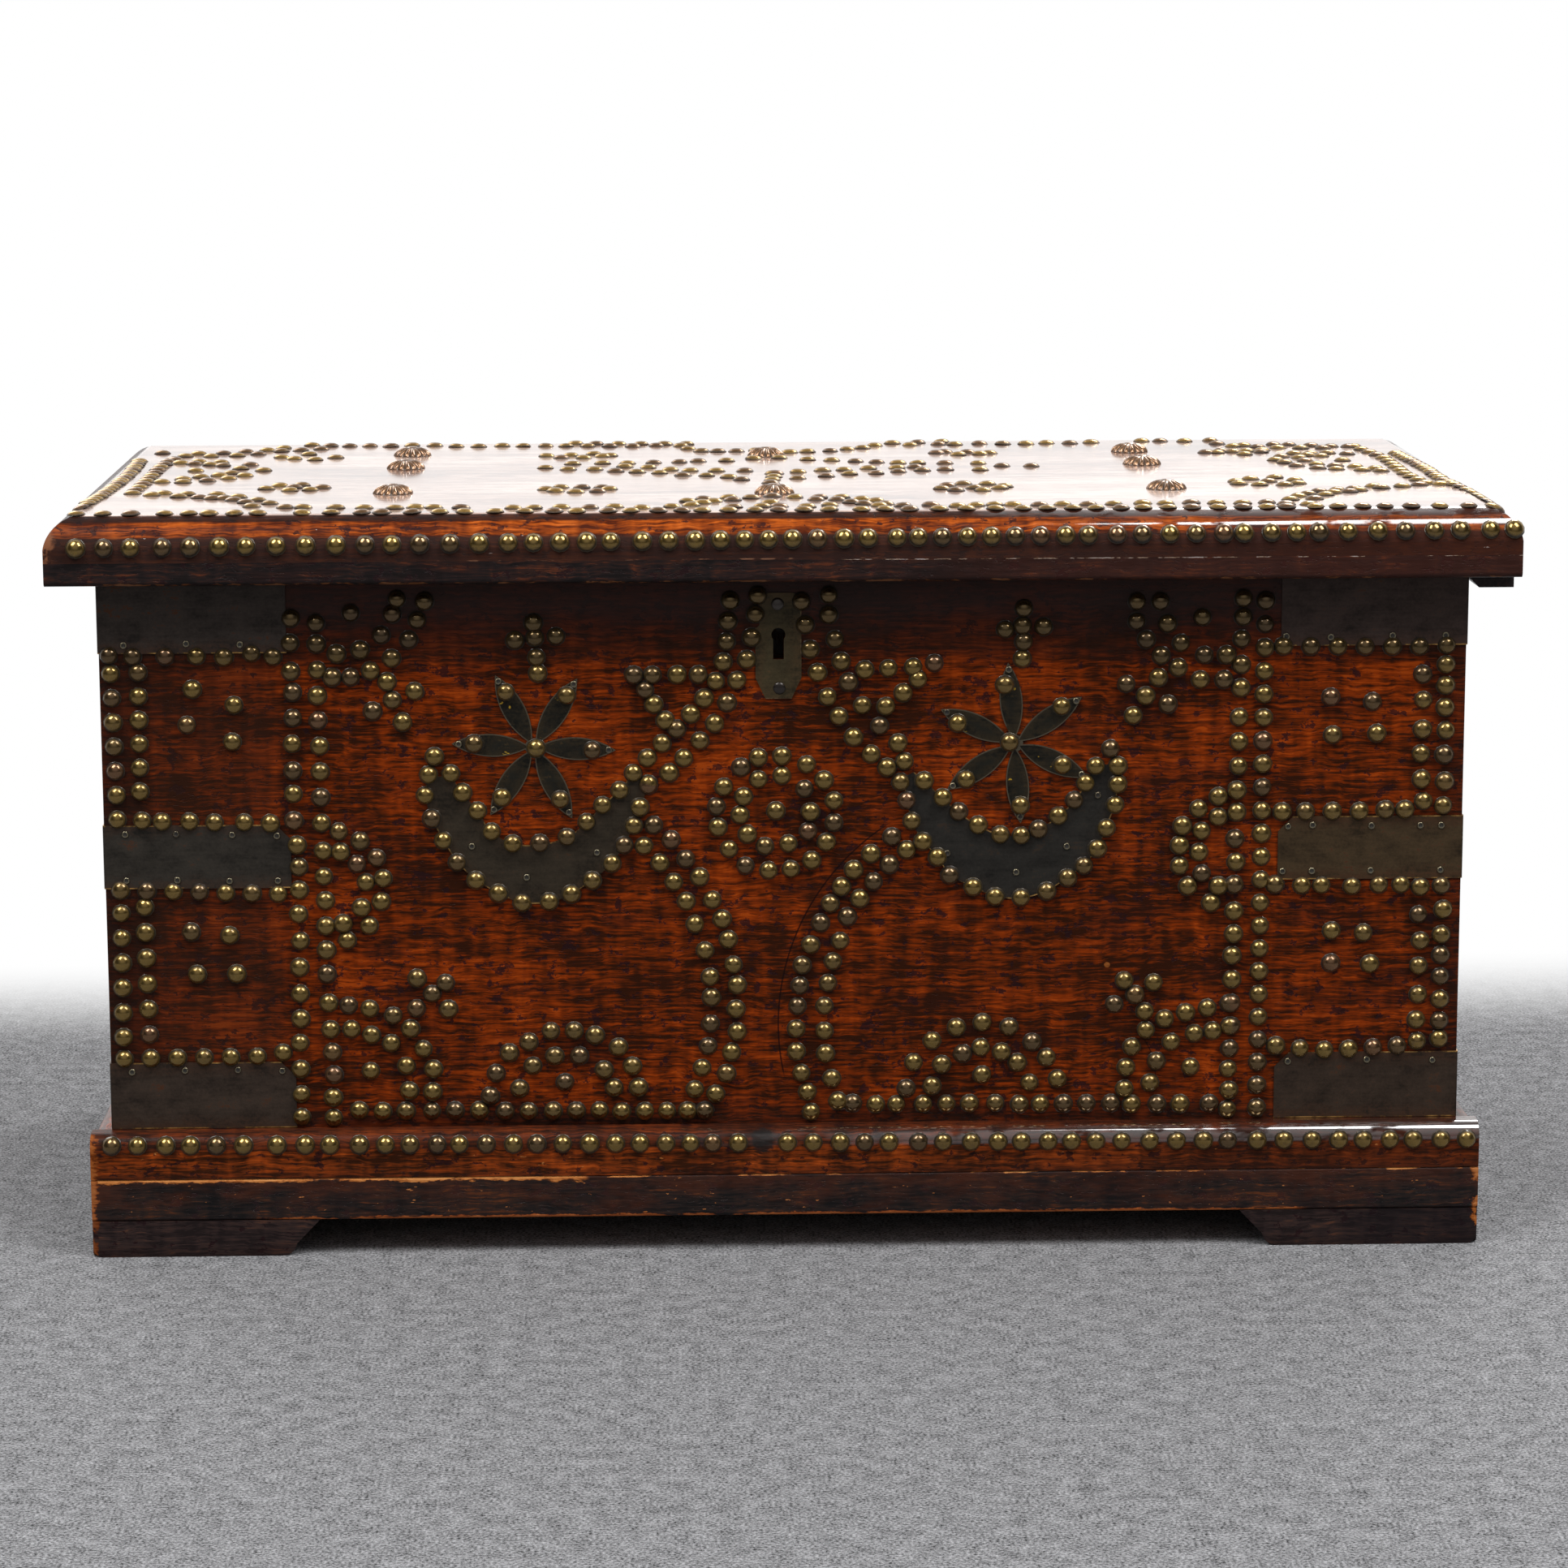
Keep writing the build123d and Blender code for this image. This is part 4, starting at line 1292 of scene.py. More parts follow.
FRONT_RUNS = (
    # Left corner: the straps' rows, the stiles between them and the two fours
    Run(((-542, 493), (-523, 492), (-497, 492), (-472, 492), (-450, 491), (-428, 494), (-411, 491))),
    Run(((-541, 478), (-539, 379)), 6),
    Run(((-519, 479), (-520, 382)), 6),
    Run(((-539, 359), (-519, 358), (-503, 357), (-481, 357), (-461, 356), (-437, 356), (-416, 355))),
    Run(((-538, 301), (-411, 297)), 7),
    Run(((-538, 282), (-539, 179)), 6),
    Run(((-519, 287), (-518, 181)), 6),
    Run(((-539, 161), (-428, 162), (-410, 165)), 7),
    Run(((-476, 465), (-443, 452), (-481, 436), (-445, 422))),
    Run(((-482, 266), (-451, 263), (-478, 231), (-446, 231))),
    # Left column, its bulge, branch, diagonals and a lone nail
    Run((
        (-396, 522), (-397, 502), (-397, 479), (-396, 462), (-396, 441), (-397, 420), (-397, 398),
        (-397, 379), (-397, 357), (-395, 337), (-394, 319), (-394, 300), (-395, 280), (-394, 258),
        (-395, 236), (-395, 214), (-395, 193), (-396, 173), (-396, 151), (-396, 130), (-396, 111),
    )),
    Run((
        (-376, 518), (-376, 501), (-376, 480), (-376, 459), (-376, 439), (-375, 418), (-375, 397),
        (-375, 376), (-375, 355), (-374, 332), (-374, 311), (-373, 291), (-373, 270), (-373, 250),
        (-373, 230), (-372, 206), (-371, 184), (-370, 165), (-369, 146), (-370, 127), (-370, 110),
    )),
    Run(((-361, 348), (-344, 340), (-331, 326), (-326, 309), (-328, 290), (-338, 270), (-356, 258))),
    Run(((-360, 331), (-347, 321), (-340, 306), (-344, 285), (-359, 272))),
    Run((
        (-364, 474), (-349, 474), (-333, 479), (-320, 470), (-316, 455), (-298, 462), (-332, 446),
        (-308, 437),
    )),
    Run(((-360, 493), (-341, 496), (-324, 508), (-315, 525), (-311, 537))),
    Run(((-316, 489), (-302, 504), (-295, 520), (-289, 535))),
    Run(((-348, 526),)),
    # Left cross, flower and crescent
    Run(((-202, 517), (-201, 505), (-200, 489), (-199, 476), (-217, 503), (-184, 506))),
    Run(((-225, 461), (-176, 458), (-156, 413), (-182, 373), (-229, 375), (-251, 419), (-201, 415))),
    Run((
        (-283, 409), (-288, 394), (-291, 377), (-286, 358), (-277, 340), (-266, 322), (-251, 307),
        (-233, 296), (-214, 288), (-192, 289), (-174, 295), (-157, 306), (-141, 320), (-131, 335),
        (-123, 351), (-118, 366), (-111, 384),
    )),
    Run((
        (-270, 395), (-261, 379), (-249, 364), (-238, 347), (-221, 337), (-199, 337), (-177, 342),
        (-161, 354), (-148, 368), (-134, 380),
    )),
    # Left rows down from the keyhole, and the left flag
    Run(((-123, 394), (-57, 467), (-44, 534)), 11),
    Run((
        (-111, 385), (-94, 394), (-82, 406), (-69, 420), (-57, 434), (-47, 451), (-39, 469), (-31, 486),
        (-27, 504), (-24, 523), (-22, 538),
    )),
    Run(((-122, 474), (-107, 474), (-87, 474), (-70, 474))),
    Run(((-113, 462), (-106, 450), (-97, 437))),
    # Ring in the middle, and the sweeps on both sides of it
    Run((
        (-22, 406), (-3, 407), (17, 400), (31, 387), (39, 370), (39, 352), (33, 336), (21, 321), (4, 314),
        (-14, 313), (-33, 317), (-46, 331), (-55, 349), (-56, 366), (-50, 382), (-36, 398),
    )),
    Run((
        (-22, 388), (-3, 391), (15, 380), (20, 361), (18, 345), (2, 335), (-17, 333), (-31, 343),
        (-37, 359), (-34, 374),
    )),
    Run(((-8, 362),)),
    Run((
        (-107, 351), (-93, 339), (-81, 323), (-70, 308), (-60, 289), (-52, 273), (-47, 256), (-43, 235),
        (-40, 218), (-41, 198), (-40, 179), (-45, 162), (-49, 144), (-58, 127),
    )),
    Run((
        (-115, 334), (-102, 320), (-91, 304), (-81, 288), (-74, 269), (-66, 247), (-62, 225), (-61, 208),
        (-62, 186), (-64, 167), (-69, 149), (-75, 131),
    )),
    Run((
        (86, 340), (69, 326), (55, 313), (45, 299), (36, 285), (28, 269), (20, 251), (13, 234), (11, 217),
        (9, 200), (8, 181), (8, 162), (12, 144), (17, 128), (20, 111),
    )),
    Run((
        (98, 329), (84, 317), (71, 303), (60, 289), (50, 274), (44, 254), (38, 237), (34, 219), (31, 200),
        (31, 179), (32, 160), (37, 139), (42, 120),
    )),
    # Bottom row
    Run((
        (-349, 116), (-330, 115), (-311, 115), (-290, 115), (-271, 115), (-251, 115), (-230, 114),
        (-211, 114), (-191, 114), (-172, 114), (-153, 114), (-135, 113), (-116, 113), (-98, 113),
        (-81, 113), (-67, 113),
    )),
    Run((
        (54, 118), (73, 117), (90, 117), (112, 117), (131, 117), (150, 117), (171, 117), (191, 116),
        (208, 116), (227, 116), (246, 116), (266, 116), (283, 115), (304, 115), (323, 115), (347, 115),
    )),
    # Left fan, saltire and arch
    Run(((-356, 204), (-339, 201), (-320, 195), (-306, 184), (-296, 167), (-288, 150), (-289, 131))),
    Run(((-354, 184), (-338, 179), (-322, 172), (-310, 153), (-308, 132))),
    Run(((-339, 149),)),
    Run(((-300, 226), (-277, 222), (-288, 213), (-301, 201), (-275, 200))),
    Run((
        (-242, 127), (-237, 146), (-226, 163), (-210, 172), (-192, 181), (-173, 181), (-156, 177),
        (-137, 167), (-126, 151), (-121, 133),
    )),
    Run(((-218, 133), (-207, 152), (-189, 160), (-169, 160), (-149, 148), (-141, 133))),
    Run(((-181, 138),)),
    # Right arch, fan and saltire
    Run((
        (98, 130), (104, 152), (119, 170), (139, 181), (160, 185), (182, 181), (201, 168), (213, 155),
        (222, 137),
    )),
    Run(((119, 132), (127, 150), (144, 159), (159, 164), (176, 160), (189, 151), (199, 134))),
    Run(((160, 141),)),
    Run(((362, 199), (308, 186), (282, 162), (277, 128)), 8),
    Run(((364, 180), (349, 176), (334, 174), (315, 167), (303, 151), (298, 133))),
    Run(((331, 146),)),
    Run(((276, 219), (300, 217), (285, 207), (268, 199), (293, 193))),
    # Right crescent, rows down from the keyhole, flag, cross and flower
    Run((
        (263, 411), (269, 397), (269, 382), (267, 365), (260, 346), (253, 329), (242, 315), (229, 305),
        (212, 294), (191, 289), (170, 290), (152, 298), (133, 308), (123, 323), (111, 336), (102, 353),
        (98, 370),
    )),
    Run((
        (251, 397), (243, 383), (234, 369), (221, 356), (205, 345), (191, 340), (174, 341), (156, 349),
        (140, 360), (127, 372), (112, 386),
    )),
    Run((
        (96, 402), (91, 417), (76, 431), (62, 448), (51, 467), (45, 484), (40, 502), (35, 522), (35, 538),
    )),
    Run((
        (93, 385), (82, 397), (69, 408), (55, 422), (43, 439), (34, 455), (26, 475), (20, 494), (16, 514),
        (13, 533),
    )),
    Run(((64, 477), (83, 478), (103, 479), (120, 482))),
    Run(((107, 469), (95, 458), (81, 447))),
    Run(((192, 526), (191, 512), (192, 499), (191, 485), (177, 509), (208, 511))),
    Run(((177, 464), (223, 446), (224, 398), (190, 365), (146, 387), (139, 433), (181, 417))),
    # Right column, its bulge and branch
    Run(((387, 531), (386, 111)), 23),
    Run((
        (369, 533), (369, 518), (368, 500), (368, 479), (368, 460), (367, 436), (367, 416), (367, 396),
        (366, 376), (366, 358), (365, 336), (366, 317), (365, 298), (365, 276), (365, 257), (364, 239),
        (364, 219), (364, 199), (363, 180), (363, 161), (362, 144), (363, 126), (362, 110),
    )),
    Run(((351, 371), (335, 361), (322, 347), (320, 331), (320, 314), (327, 297), (346, 283))),
    Run(((351, 354), (337, 341), (338, 308), (352, 297)), 5),
    Run((
        (283, 531), (302, 531), (283, 515), (308, 513), (336, 518), (291, 500), (319, 497), (303, 487),
        (338, 487), (356, 487), (317, 477), (301, 469), (335, 467), (354, 467), (275, 464), (291, 454),
        (309, 447), (281, 438),
    )),
    # Right corner: the straps' rows, the stiles between them and the two fours
    Run(((402, 494), (515, 493), (534, 494)), 7),
    Run(((515, 470), (516, 449), (516, 425), (515, 405), (516, 384), (518, 366))),
    Run(((534, 478), (534, 461), (534, 443), (535, 424), (534, 404), (535, 382), (534, 362))),
    Run(((441, 452), (475, 448), (443, 421), (479, 422))),
    Run(((445, 259), (471, 257), (445, 232), (477, 231))),
    Run(((403, 358), (422, 358), (444, 358), (466, 358), (487, 359), (503, 359))),
    Run(((398, 298), (420, 297), (436, 297), (461, 296), (483, 297), (501, 297), (517, 295), (534, 296))),
    Run(((516, 272), (518, 250), (517, 229), (517, 205), (516, 184), (517, 166))),
    Run(((536, 276), (535, 255), (535, 238), (535, 220), (535, 201), (535, 183), (535, 168))),
    Run(((401, 163), (442, 159), (501, 162)), 6),
)
LID_RUNS = (
    # Left columns, fans and bow
    Run(((-558, 141), (-555, 30), (-558, -102), (-565, -210)), 24),
    Run(((-530, 157), (-533, 113), (-534, 28), (-534, -48), (-535, -110)), 13),
    Run(((-545, 210), (-512, 201), (-490, 205), (-471, 217), (-453, 228), (-440, 247))),
    Run(((-522, 182), (-499, 180), (-476, 184), (-458, 196), (-440, 221), (-423, 226), (-416, 272))),
    Run(((-435, 168), (-423, 154), (-404, 146), (-413, 192))),
    Run(((-405, 237), (-387, 163))),
    Run((
        (-518, -123), (-494, -136), (-477, -143), (-466, -150), (-456, -151), (-447, -163), (-435, -180),
        (-428, -208),
    )),
    Run(((-509, -113), (-489, -120), (-464, -123), (-445, -141), (-427, -165), (-415, -188), (-401, -216))),
    Run((
        (-527, 150), (-505, 136), (-485, 128), (-457, 106), (-442, 61), (-454, 20), (-466, -2), (-482, -19),
        (-502, -28), (-520, -26),
    )),
    Run((
        (-520, 124), (-507, 117), (-492, 109), (-481, 102), (-463, 76), (-468, 40), (-476, 22), (-491, 12),
        (-504, -5),
    )),
    Run(((-500, 61),)),
    # Rows along the front, back rows left of the middle, and waves
    Run(((-427, -82), (-418, -60), (-407, -95), (-405, -72), (-400, -56), (-390, -91), (-381, -75))),
    Run((
        (-386, -217), (-360, -220), (-337, -222), (-312, -225), (-296, -221), (-281, -223), (-259, -225),
        (-217, -230), (-201, -231), (-179, -228), (-156, -231), (-136, -227), (-114, -235),
    )),
    Run((
        (95, -231), (118, -227), (139, -235), (154, -231), (169, -227), (184, -229), (205, -231),
        (224, -228), (244, -230), (265, -227), (289, -224), (307, -226), (328, -222), (348, -225),
        (369, -227), (389, -224),
    )),
    Run((
        (-399, 264), (-381, 262), (-363, 261), (-344, 259), (-325, 264), (-304, 262), (-284, 254),
        (-264, 252), (-243, 257), (-224, 255), (-203, 253), (-185, 252), (-165, 250), (-145, 248),
        (-124, 246), (-103, 251),
    )),
    Run(((-177, 272), (-158, 270), (-137, 268), (-117, 266), (-95, 264), (-76, 263))),
    Run((
        (-186, -111), (-182, -83), (-194, -99), (-169, -119), (-165, -85), (-151, -115), (-148, -87),
        (-142, -99),
    )),
    Run(((-200, 166), (-187, 151), (-179, 170), (-167, 149), (-159, 182), (-151, 161), (-144, 167))),
    # Arches in the middle
    Run((
        (-90, -227), (-77, -190), (-64, -175), (-44, -166), (-25, -168), (-8, -158), (10, -166), (30, -168),
        (48, -170), (64, -183), (75, -195), (82, -218),
    )),
    Run((
        (-75, -218), (-65, -202), (-56, -192), (-41, -183), (27, -184), (44, -186), (55, -204), (65, -216),
        (76, -228),
    )),
    Run(((-41, -232), (-18, -229), (-11, -203), (-4, -231), (18, -233), (37, -224))),
    Run((
        (-81, 249), (-74, 221), (-63, 200), (-48, 198), (-31, 197), (-13, 202), (-1, 180), (16, 186),
        (32, 191), (53, 196), (69, 208), (83, 220), (95, 240),
    )),
    # Eye round the middle, and its stem
    Run((
        (-199, 69), (-176, 99), (-150, 103), (-128, 101), (-105, 105), (-83, 109), (-66, 114), (-41, 118),
        (-17, 135), (6, 140), (30, 124), (51, 116), (72, 107), (90, 99), (108, 91), (125, 89), (149, 87),
        (178, 84), (197, 63), (222, 60),
    )),
    Run((
        (-179, 55), (-156, 53), (-138, 38), (-119, 30), (-100, 22), (-80, 2), (-60, 0), (-41, -14),
        (-31, -33),
    )),
    Run(((17, -26), (42, -10), (62, 6), (85, 10), (105, 21), (126, 31), (146, 36), (176, 33))),
    Run((
        (-130, 75), (-110, 67), (-91, 46), (-74, 38), (-51, 36), (-27, 34), (-3, 13), (19, 23), (40, 34),
        (59, 38), (80, 48), (105, 52), (121, 57),
    )),
    Run(((-1, 13), (-3, -12), (-5, -36), (-7, -60))),
    # Waves and back rows, right of the middle
    Run(((147, 173), (155, 179), (165, 158), (175, 177), (185, 163), (194, 169))),
    Run((
        (134, -110), (140, -87), (145, -123), (154, -76), (161, -107), (167, -125), (174, -78), (182, -109),
        (187, -97),
    )),
    Run((
        (384, -70), (384, -88), (398, -53), (400, -96), (411, -72), (420, -42), (421, -98), (434, -63),
        (434, -87),
    )),
    Run(((387, 164), (397, 163), (402, 176), (412, 169), (419, 147), (436, 166))),
    Run((
        (112, 260), (127, 244), (153, 249), (168, 247), (191, 252), (212, 250), (233, 249), (252, 254),
        (273, 252), (293, 257), (340, 267), (357, 266), (379, 264), (403, 269),
    )),
    Run(((135, 265), (157, 270))),
    # Right columns, fans and bow
    Run(((554, 148), (559, 20), (559, -76), (570, -162), (573, -238)), 24),
    Run(((525, 207), (533, 150), (537, 88), (535, -10), (537, -61), (540, -92)), 13),
    Run((
        (551, -100), (533, -104), (517, -114), (498, -124), (477, -140), (467, -151), (454, -155),
        (444, -172), (431, -200), (421, -238),
    )),
    Run((
        (493, -112), (474, -128), (459, -138), (443, -148), (431, -165), (421, -181), (411, -203),
        (403, -236),
    )),
    Run((
        (406, 239), (417, 217), (428, 223), (439, 208), (456, 228), (469, 226), (488, 217), (505, 209),
        (521, 207),
    )),
    Run(((424, 174), (439, 180), (456, 199), (476, 197), (496, 195))),
    Run((
        (518, 4), (503, 12), (482, 21), (467, 29), (452, 50), (445, 77), (440, 98), (449, 124), (464, 150),
        (478, 148), (494, 154), (510, 145),
    )),
    Run(((516, 24), (501, 39), (485, 47), (471, 61), (465, 89), (463, 116), (474, 135), (484, 127))),
    Run(((498, 92),)),
)


# --------------------------------------------------------------- sub-assemblies


@dataclass
class Carcase:
    """The box: front, back and end boards, bottom and till."""

    lid_shadow_from: float = 0.476
    lid_shadow_at: float = 0.497
    front_inner_y: float = -0.2215
    back_inner_y: float = 0.2385
    end_inner_x: float = 0.529
    scores: tuple[ArcScore, ...] = (
        ArcScore(((90, 355), (-2, 227), (-1, 138))),
        ArcScore(((288, 176), (298, 160), (300, 120)), 0.0007, 0.7),
    )

    def _front_marks(self) -> tuple[Mark, ...]:
        """Marks on the front board.

        Returns:
            Painted shadow under the lid, darkening beside the left column, at both ends and along the foot,
            and the scored lines.
        """
        darkening = paint(34, 22, 18)
        return (
            # Painted shadow of the lid's overhang, and painted shade above it up to the lid
            ShadeBand(Axis.Z, self.lid_shadow_from, self.lid_shadow_at, 0.68, 0.8, paint(38, 23, 17)),
            ShadeBand(Axis.Z, self.lid_shadow_at, 0.535, 0.65, 0.8, paint(54, 44, 43)),
            # Darker beside the left column, towards both ends and towards the foot
            ShadeBand(Axis.X, -0.385, -0.43, 0.50, 1.0, paint(44, 26, 18)),
            ShadeBand(Axis.X, 0.500, 0.555, 0.5, 0.8, darkening),
            ShadeBand(Axis.X, -0.490, -0.550, 0.6, 0.8, darkening),
            ShadeBand(Axis.Z, 0.128, 0.102, 0.6, 0.8, darkening),
            *self.scores,
        )

    def build(self) -> None:
        """Dresses every board."""
        nick = Patch((0.262, FRONT_FACE_Y, 0.232), 0.0026, paint(150, 96, 52))
        inside = InnerFace(Axis.Y, self.front_inner_y)
        dress(Teak("front_teak", marks=self._front_marks(), bare_wood_and_glints=(inside, nick)), "front_board")
        # Darker towards the top, painted shade under the lid, and darker towards the foot
        shades = (ShadeBand(Axis.Z, 0.49, 0.56, 0.8, 0.9), ShadeBand(Axis.Z, 0.135, 0.095, 0.7, 0.9))
        back = Teak(
            "back_teak", Axis.X, paint(34, 20, 13), paint(62, 32, 18), paint(92, 48, 26), paint(118, 66, 36),
            shades, (InnerFace(Axis.Y, self.back_inner_y, False),), polish=0.5, seed=1.7,
        )
        dress(back, "back_board")
        for side, name in SIDES:
            inner = InnerFace(Axis.X, side * self.end_inner_x, side < 0)
            end = Teak(f"end_teak_{name}", Axis.Y, marks=shades, bare_wood_and_glints=(inner,), seed=2.3 + side)
            dress(end, f"end_board_{name}")
        dress(InsideWood("bottom_wood", Axis.X, 4.1), "bottom_plank_1", "bottom_plank_2", "bottom_plank_3")
        dress(InsideWood("till_wood", Axis.Y, 5.6), "till_floor", "till_front")


@dataclass
class Plinth:
    """The moulding with its nails, the rails under it and the bracket feet."""

    end_x: float = 0.5665
    front_y: float = -0.264
    corner_depth: float = 0.010
    joint_wear_z: float = PLINTH_JOINT_Z - 0.001
    tan: Colour = paint(204, 138, 78)
    black_teak: tuple[Colour, ...] = (
        paint(14, 12, 13), paint(30, 23, 22), paint(46, 30, 24), paint(88, 46, 22)
    )
    rust: ShadeBand = ShadeBand(Axis.Z, 0.028, 0.090, 0.4, 2.6, paint(92, 42, 16))
    joint_dirt: ShadeBand = ShadeBand(Axis.Z, 0.074, 0.066, 0.5, 0.8, paint(36, 21, 17))

    def _corner(
        self, side: int, width: float, span: Point, cover: float, coarse: float, colour: Colour, chips: float
    ) -> EdgeWearAndGlint:
        """Finish worn off an upright front corner, close to the front face.

        Args:
            side: -1 for the left corner, 1 for the right.
            width: how far the wear reaches from the end.
            span: its lowest and highest height.
            cover: how much of the corner is worn.
            coarse: patches per metre.
            colour: colour of the wood under the finish.
            chips: how ragged its outline is.

        Returns:
            The mark.
        """
        near = (Axis.Y, self.front_y, self.corner_depth)
        return EdgeWearAndGlint(
            Axis.X, side * self.end_x, width, Axis.Z, *span, cover, coarse, colour, chips, 1.0, near
        )

    def _front(self, left_corner: EdgeWearAndGlint, right_corner: EdgeWearAndGlint) -> None:
        """Dresses the front moulding and rail.

        Args:
            left_corner: wear of the left corner.
            right_corner: wear of the right corner.
        """
        nail_band = ShadeBand(Axis.Z, 0.0865, 0.0905, 0.65, 0.8, paint(34, 22, 20))
        right_shade = ShadeBand(Axis.X, 0.0, 0.5, 0.60, 1.0, paint(44, 24, 18))
        dent = Patch((-0.020, -0.262, 0.093), 0.011, paint(30, 27, 26), 0.9)
        moulding = Teak(
            "moulding_teak", Axis.X,
            paint(54, 26, 11), paint(104, 46, 16), paint(146, 62, 18), paint(176, 80, 26),
            (nail_band, self.joint_dirt, right_shade, dent), (left_corner, ChipsAndGlints(0.070, 0.094, 0.2)),
            seed=0.8, coat=1.0, shining=(-0.10, 0.22), shining_above=0.0885, coat_ior=2.4,
        )
        dress(moulding, "plinth_moulding_front")
        pale_marks = (
            EdgeWearAndGlint(Axis.Z, self.joint_wear_z, 0.0030, Axis.X, -0.58, -0.16, 0.85, 14.0, self.tan),
            EdgeWearAndGlint(Axis.Z, PLINTH_JOINT_Z - 0.0006, 0.0009, Axis.X, -0.2, 0.58, 0.4, 18.0, self.tan),
            left_corner,
            right_corner,
            EdgeWearAndGlint(Axis.Z, 0.0305, 0.0020, Axis.X, -0.43, 0.43, 0.65, 22.0, paint(180, 104, 54)),
            ChipsAndGlints(0.032, 0.064, 0.6),
        )
        rail = Teak(
            "rail_teak", Axis.X, *self.black_teak, (self.rust,), pale_marks, polish=0.40, seed=3.1, gloss=0.2
        )
        dress(rail, "base_rail_front")

    def _back_and_sides(self) -> None:
        """Dresses the back rail, and the moulding and rail of both ends."""
        dress(Teak("back_rail_teak", Axis.X, *self.black_teak, seed=6.1), "base_rail_back")
        edge = EdgeWearAndGlint(Axis.Z, self.joint_wear_z, 0.0018, Axis.Y, -0.27, 0.26, 0.5, 20.0, self.tan)
        corner = EdgeWearAndGlint(
            Axis.Y, self.front_y, 0.0060, Axis.Z, 0.0, 0.115, 0.5, 40.0, paint(160, 100, 56), 1.6, 1.0
        )
        moulding = Teak(
            "side_moulding_teak", Axis.Y, paint(40, 19, 10), paint(70, 30, 14), paint(112, 46, 16),
            paint(150, 66, 24), (self.joint_dirt,), (corner,), gloss=0.12, seed=7.3, coat=0.15,
        )
        dress(moulding, "plinth_moulding_left", "plinth_moulding_right")
        rail = Teak("side_rail_teak", Axis.Y, *self.black_teak, (self.rust,), (edge, corner), seed=8.9)
        dress(rail, "base_rail_left", "base_rail_right")

    def _feet(self, right_corner: EdgeWearAndGlint) -> None:
        """Dresses the four bracket feet.

        Args:
            right_corner: wear of the right corner.
        """
        pale_marks = (self._corner(-1, 0.0050, (-0.01, 0.04), 0.7, 30.0, paint(128, 74, 42), 0.8), right_corner)
        shades = (
            ShadeBand(Axis.Z, 0.012, 0.0, 0.4, 1.0),
            ShadeBand(Axis.X, 0.40, 0.52, 0.5, 0.8, paint(24, 21, 24)),
        )
        feet = Teak(
            "foot_teak", Axis.X, paint(33, 26, 26), paint(48, 37, 36), paint(62, 45, 40), paint(88, 56, 42),
            shades, pale_marks, polish=0.42, seed=9.4,
        )
        dress(feet, "foot_front_left", "foot_front_right", "foot_back_left", "foot_back_right")

    def build(self) -> None:
        """Dresses the plinth's pieces."""
        left_corner = self._corner(-1, 0.0060, (0.022, 0.115), 0.70, 34.0, paint(158, 94, 48), 2.4)
        right_corner = self._corner(1, 0.0046, (0.012, 0.066), 0.6, 44.0, paint(176, 112, 62), 1.0)
        self._front(left_corner, right_corner)
        self._back_and_sides()
        self._feet(right_corner)


@dataclass
class Lid:
    """The lid: polished boards with a thumb moulding, front strip and end battens."""

    end_x: float = 0.587
    front_y: float = -0.280
    arris_z: float = 0.5722
    black_teak: tuple[Colour, ...] = (
        paint(24, 20, 20), paint(33, 26, 26), paint(50, 31, 26), paint(84, 44, 28)
    )

    def _edge(self) -> Teak:
        """The finish of the thumb moulding.

        Returns:
            Red teak between two dark bands, with a worn left end and arris, painted glints, and lacquer on
            its right.
        """
        marks = (
            ShadeBand(Axis.Z, 0.6015, 0.6035, 0.9, 0.5, paint(28, 20, 18)),
            ShadeBand(Axis.Z, 0.5935, 0.5900, 0.92, 0.6, paint(46, 33, 30)),
            ShadeBand(Axis.X, -0.50, -0.585, 0.4, 1.0, paint(34, 22, 20)),
            ShadeBand(Axis.X, 0.10, 0.50, 0.40, 0.6, paint(60, 26, 14)),
        )
        pale_marks = (
            EdgeWearAndGlint(
                Axis.X, -self.end_x, 0.0070, Axis.Z, 0.55, 0.600, 0.6, 40.0, paint(122, 78, 54), 0.8, 1.0,
                near=(Axis.Y, self.front_y, 0.012),
            ),
            EdgeWearAndGlint(
                Axis.Z, self.arris_z, 0.0004, Axis.X, -0.58, 0.58, 0.25, 26.0, paint(120, 84, 64),
                near=(Axis.Y, self.front_y, 0.004),
            ),
            # Pale grey specks: painted glints on the thumb moulding
            ChipsAndGlints(0.576, 0.600, 0.2, paint(176, 164, 156)),
        )
        return Teak(
            "thumb_teak", Axis.X,
            paint(70, 26, 9), paint(122, 52, 12), paint(160, 74, 18), paint(190, 96, 34),
            marks, pale_marks, seed=2.9, coat=1.0, shining=(0.10, 0.34), shining_above=0.5965,
        )

    def build(self) -> None:
        """Dresses the lid's wooden pieces."""
        dress(PolishedTop("lid_teak", moulded=self._edge()), "lid_plank_front", "lid_plank_back")
        glow = ShadeBand(Axis.X, -0.1, 0.35, 0.30, 1.2, paint(78, 36, 22))
        pale_marks = (
            EdgeWearAndGlint(Axis.Z, 0.5542, 0.0009, Axis.X, -0.59, 0.59, 0.35, 34.0, paint(120, 82, 58)),
            # Painted glint: a broken pale grey line along the strip's top arris
            EdgeWearAndGlint(Axis.Z, 0.5712, 0.0003, Axis.X, 0.04, 0.60, 0.42, 60.0, paint(150, 140, 138)),
        )
        strip = Teak(
            "strip_teak", Axis.X, *self.black_teak, (glow,), pale_marks, polish=0.34, seed=4.7, gloss=0.12
        )
        dress(strip, "lid_front_strip")
        batten = Teak("batten_teak", Axis.Y, *self.black_teak, polish=0.34, seed=5.2, gloss=0.2)
        dress(batten, "lid_batten_left", "lid_batten_right")


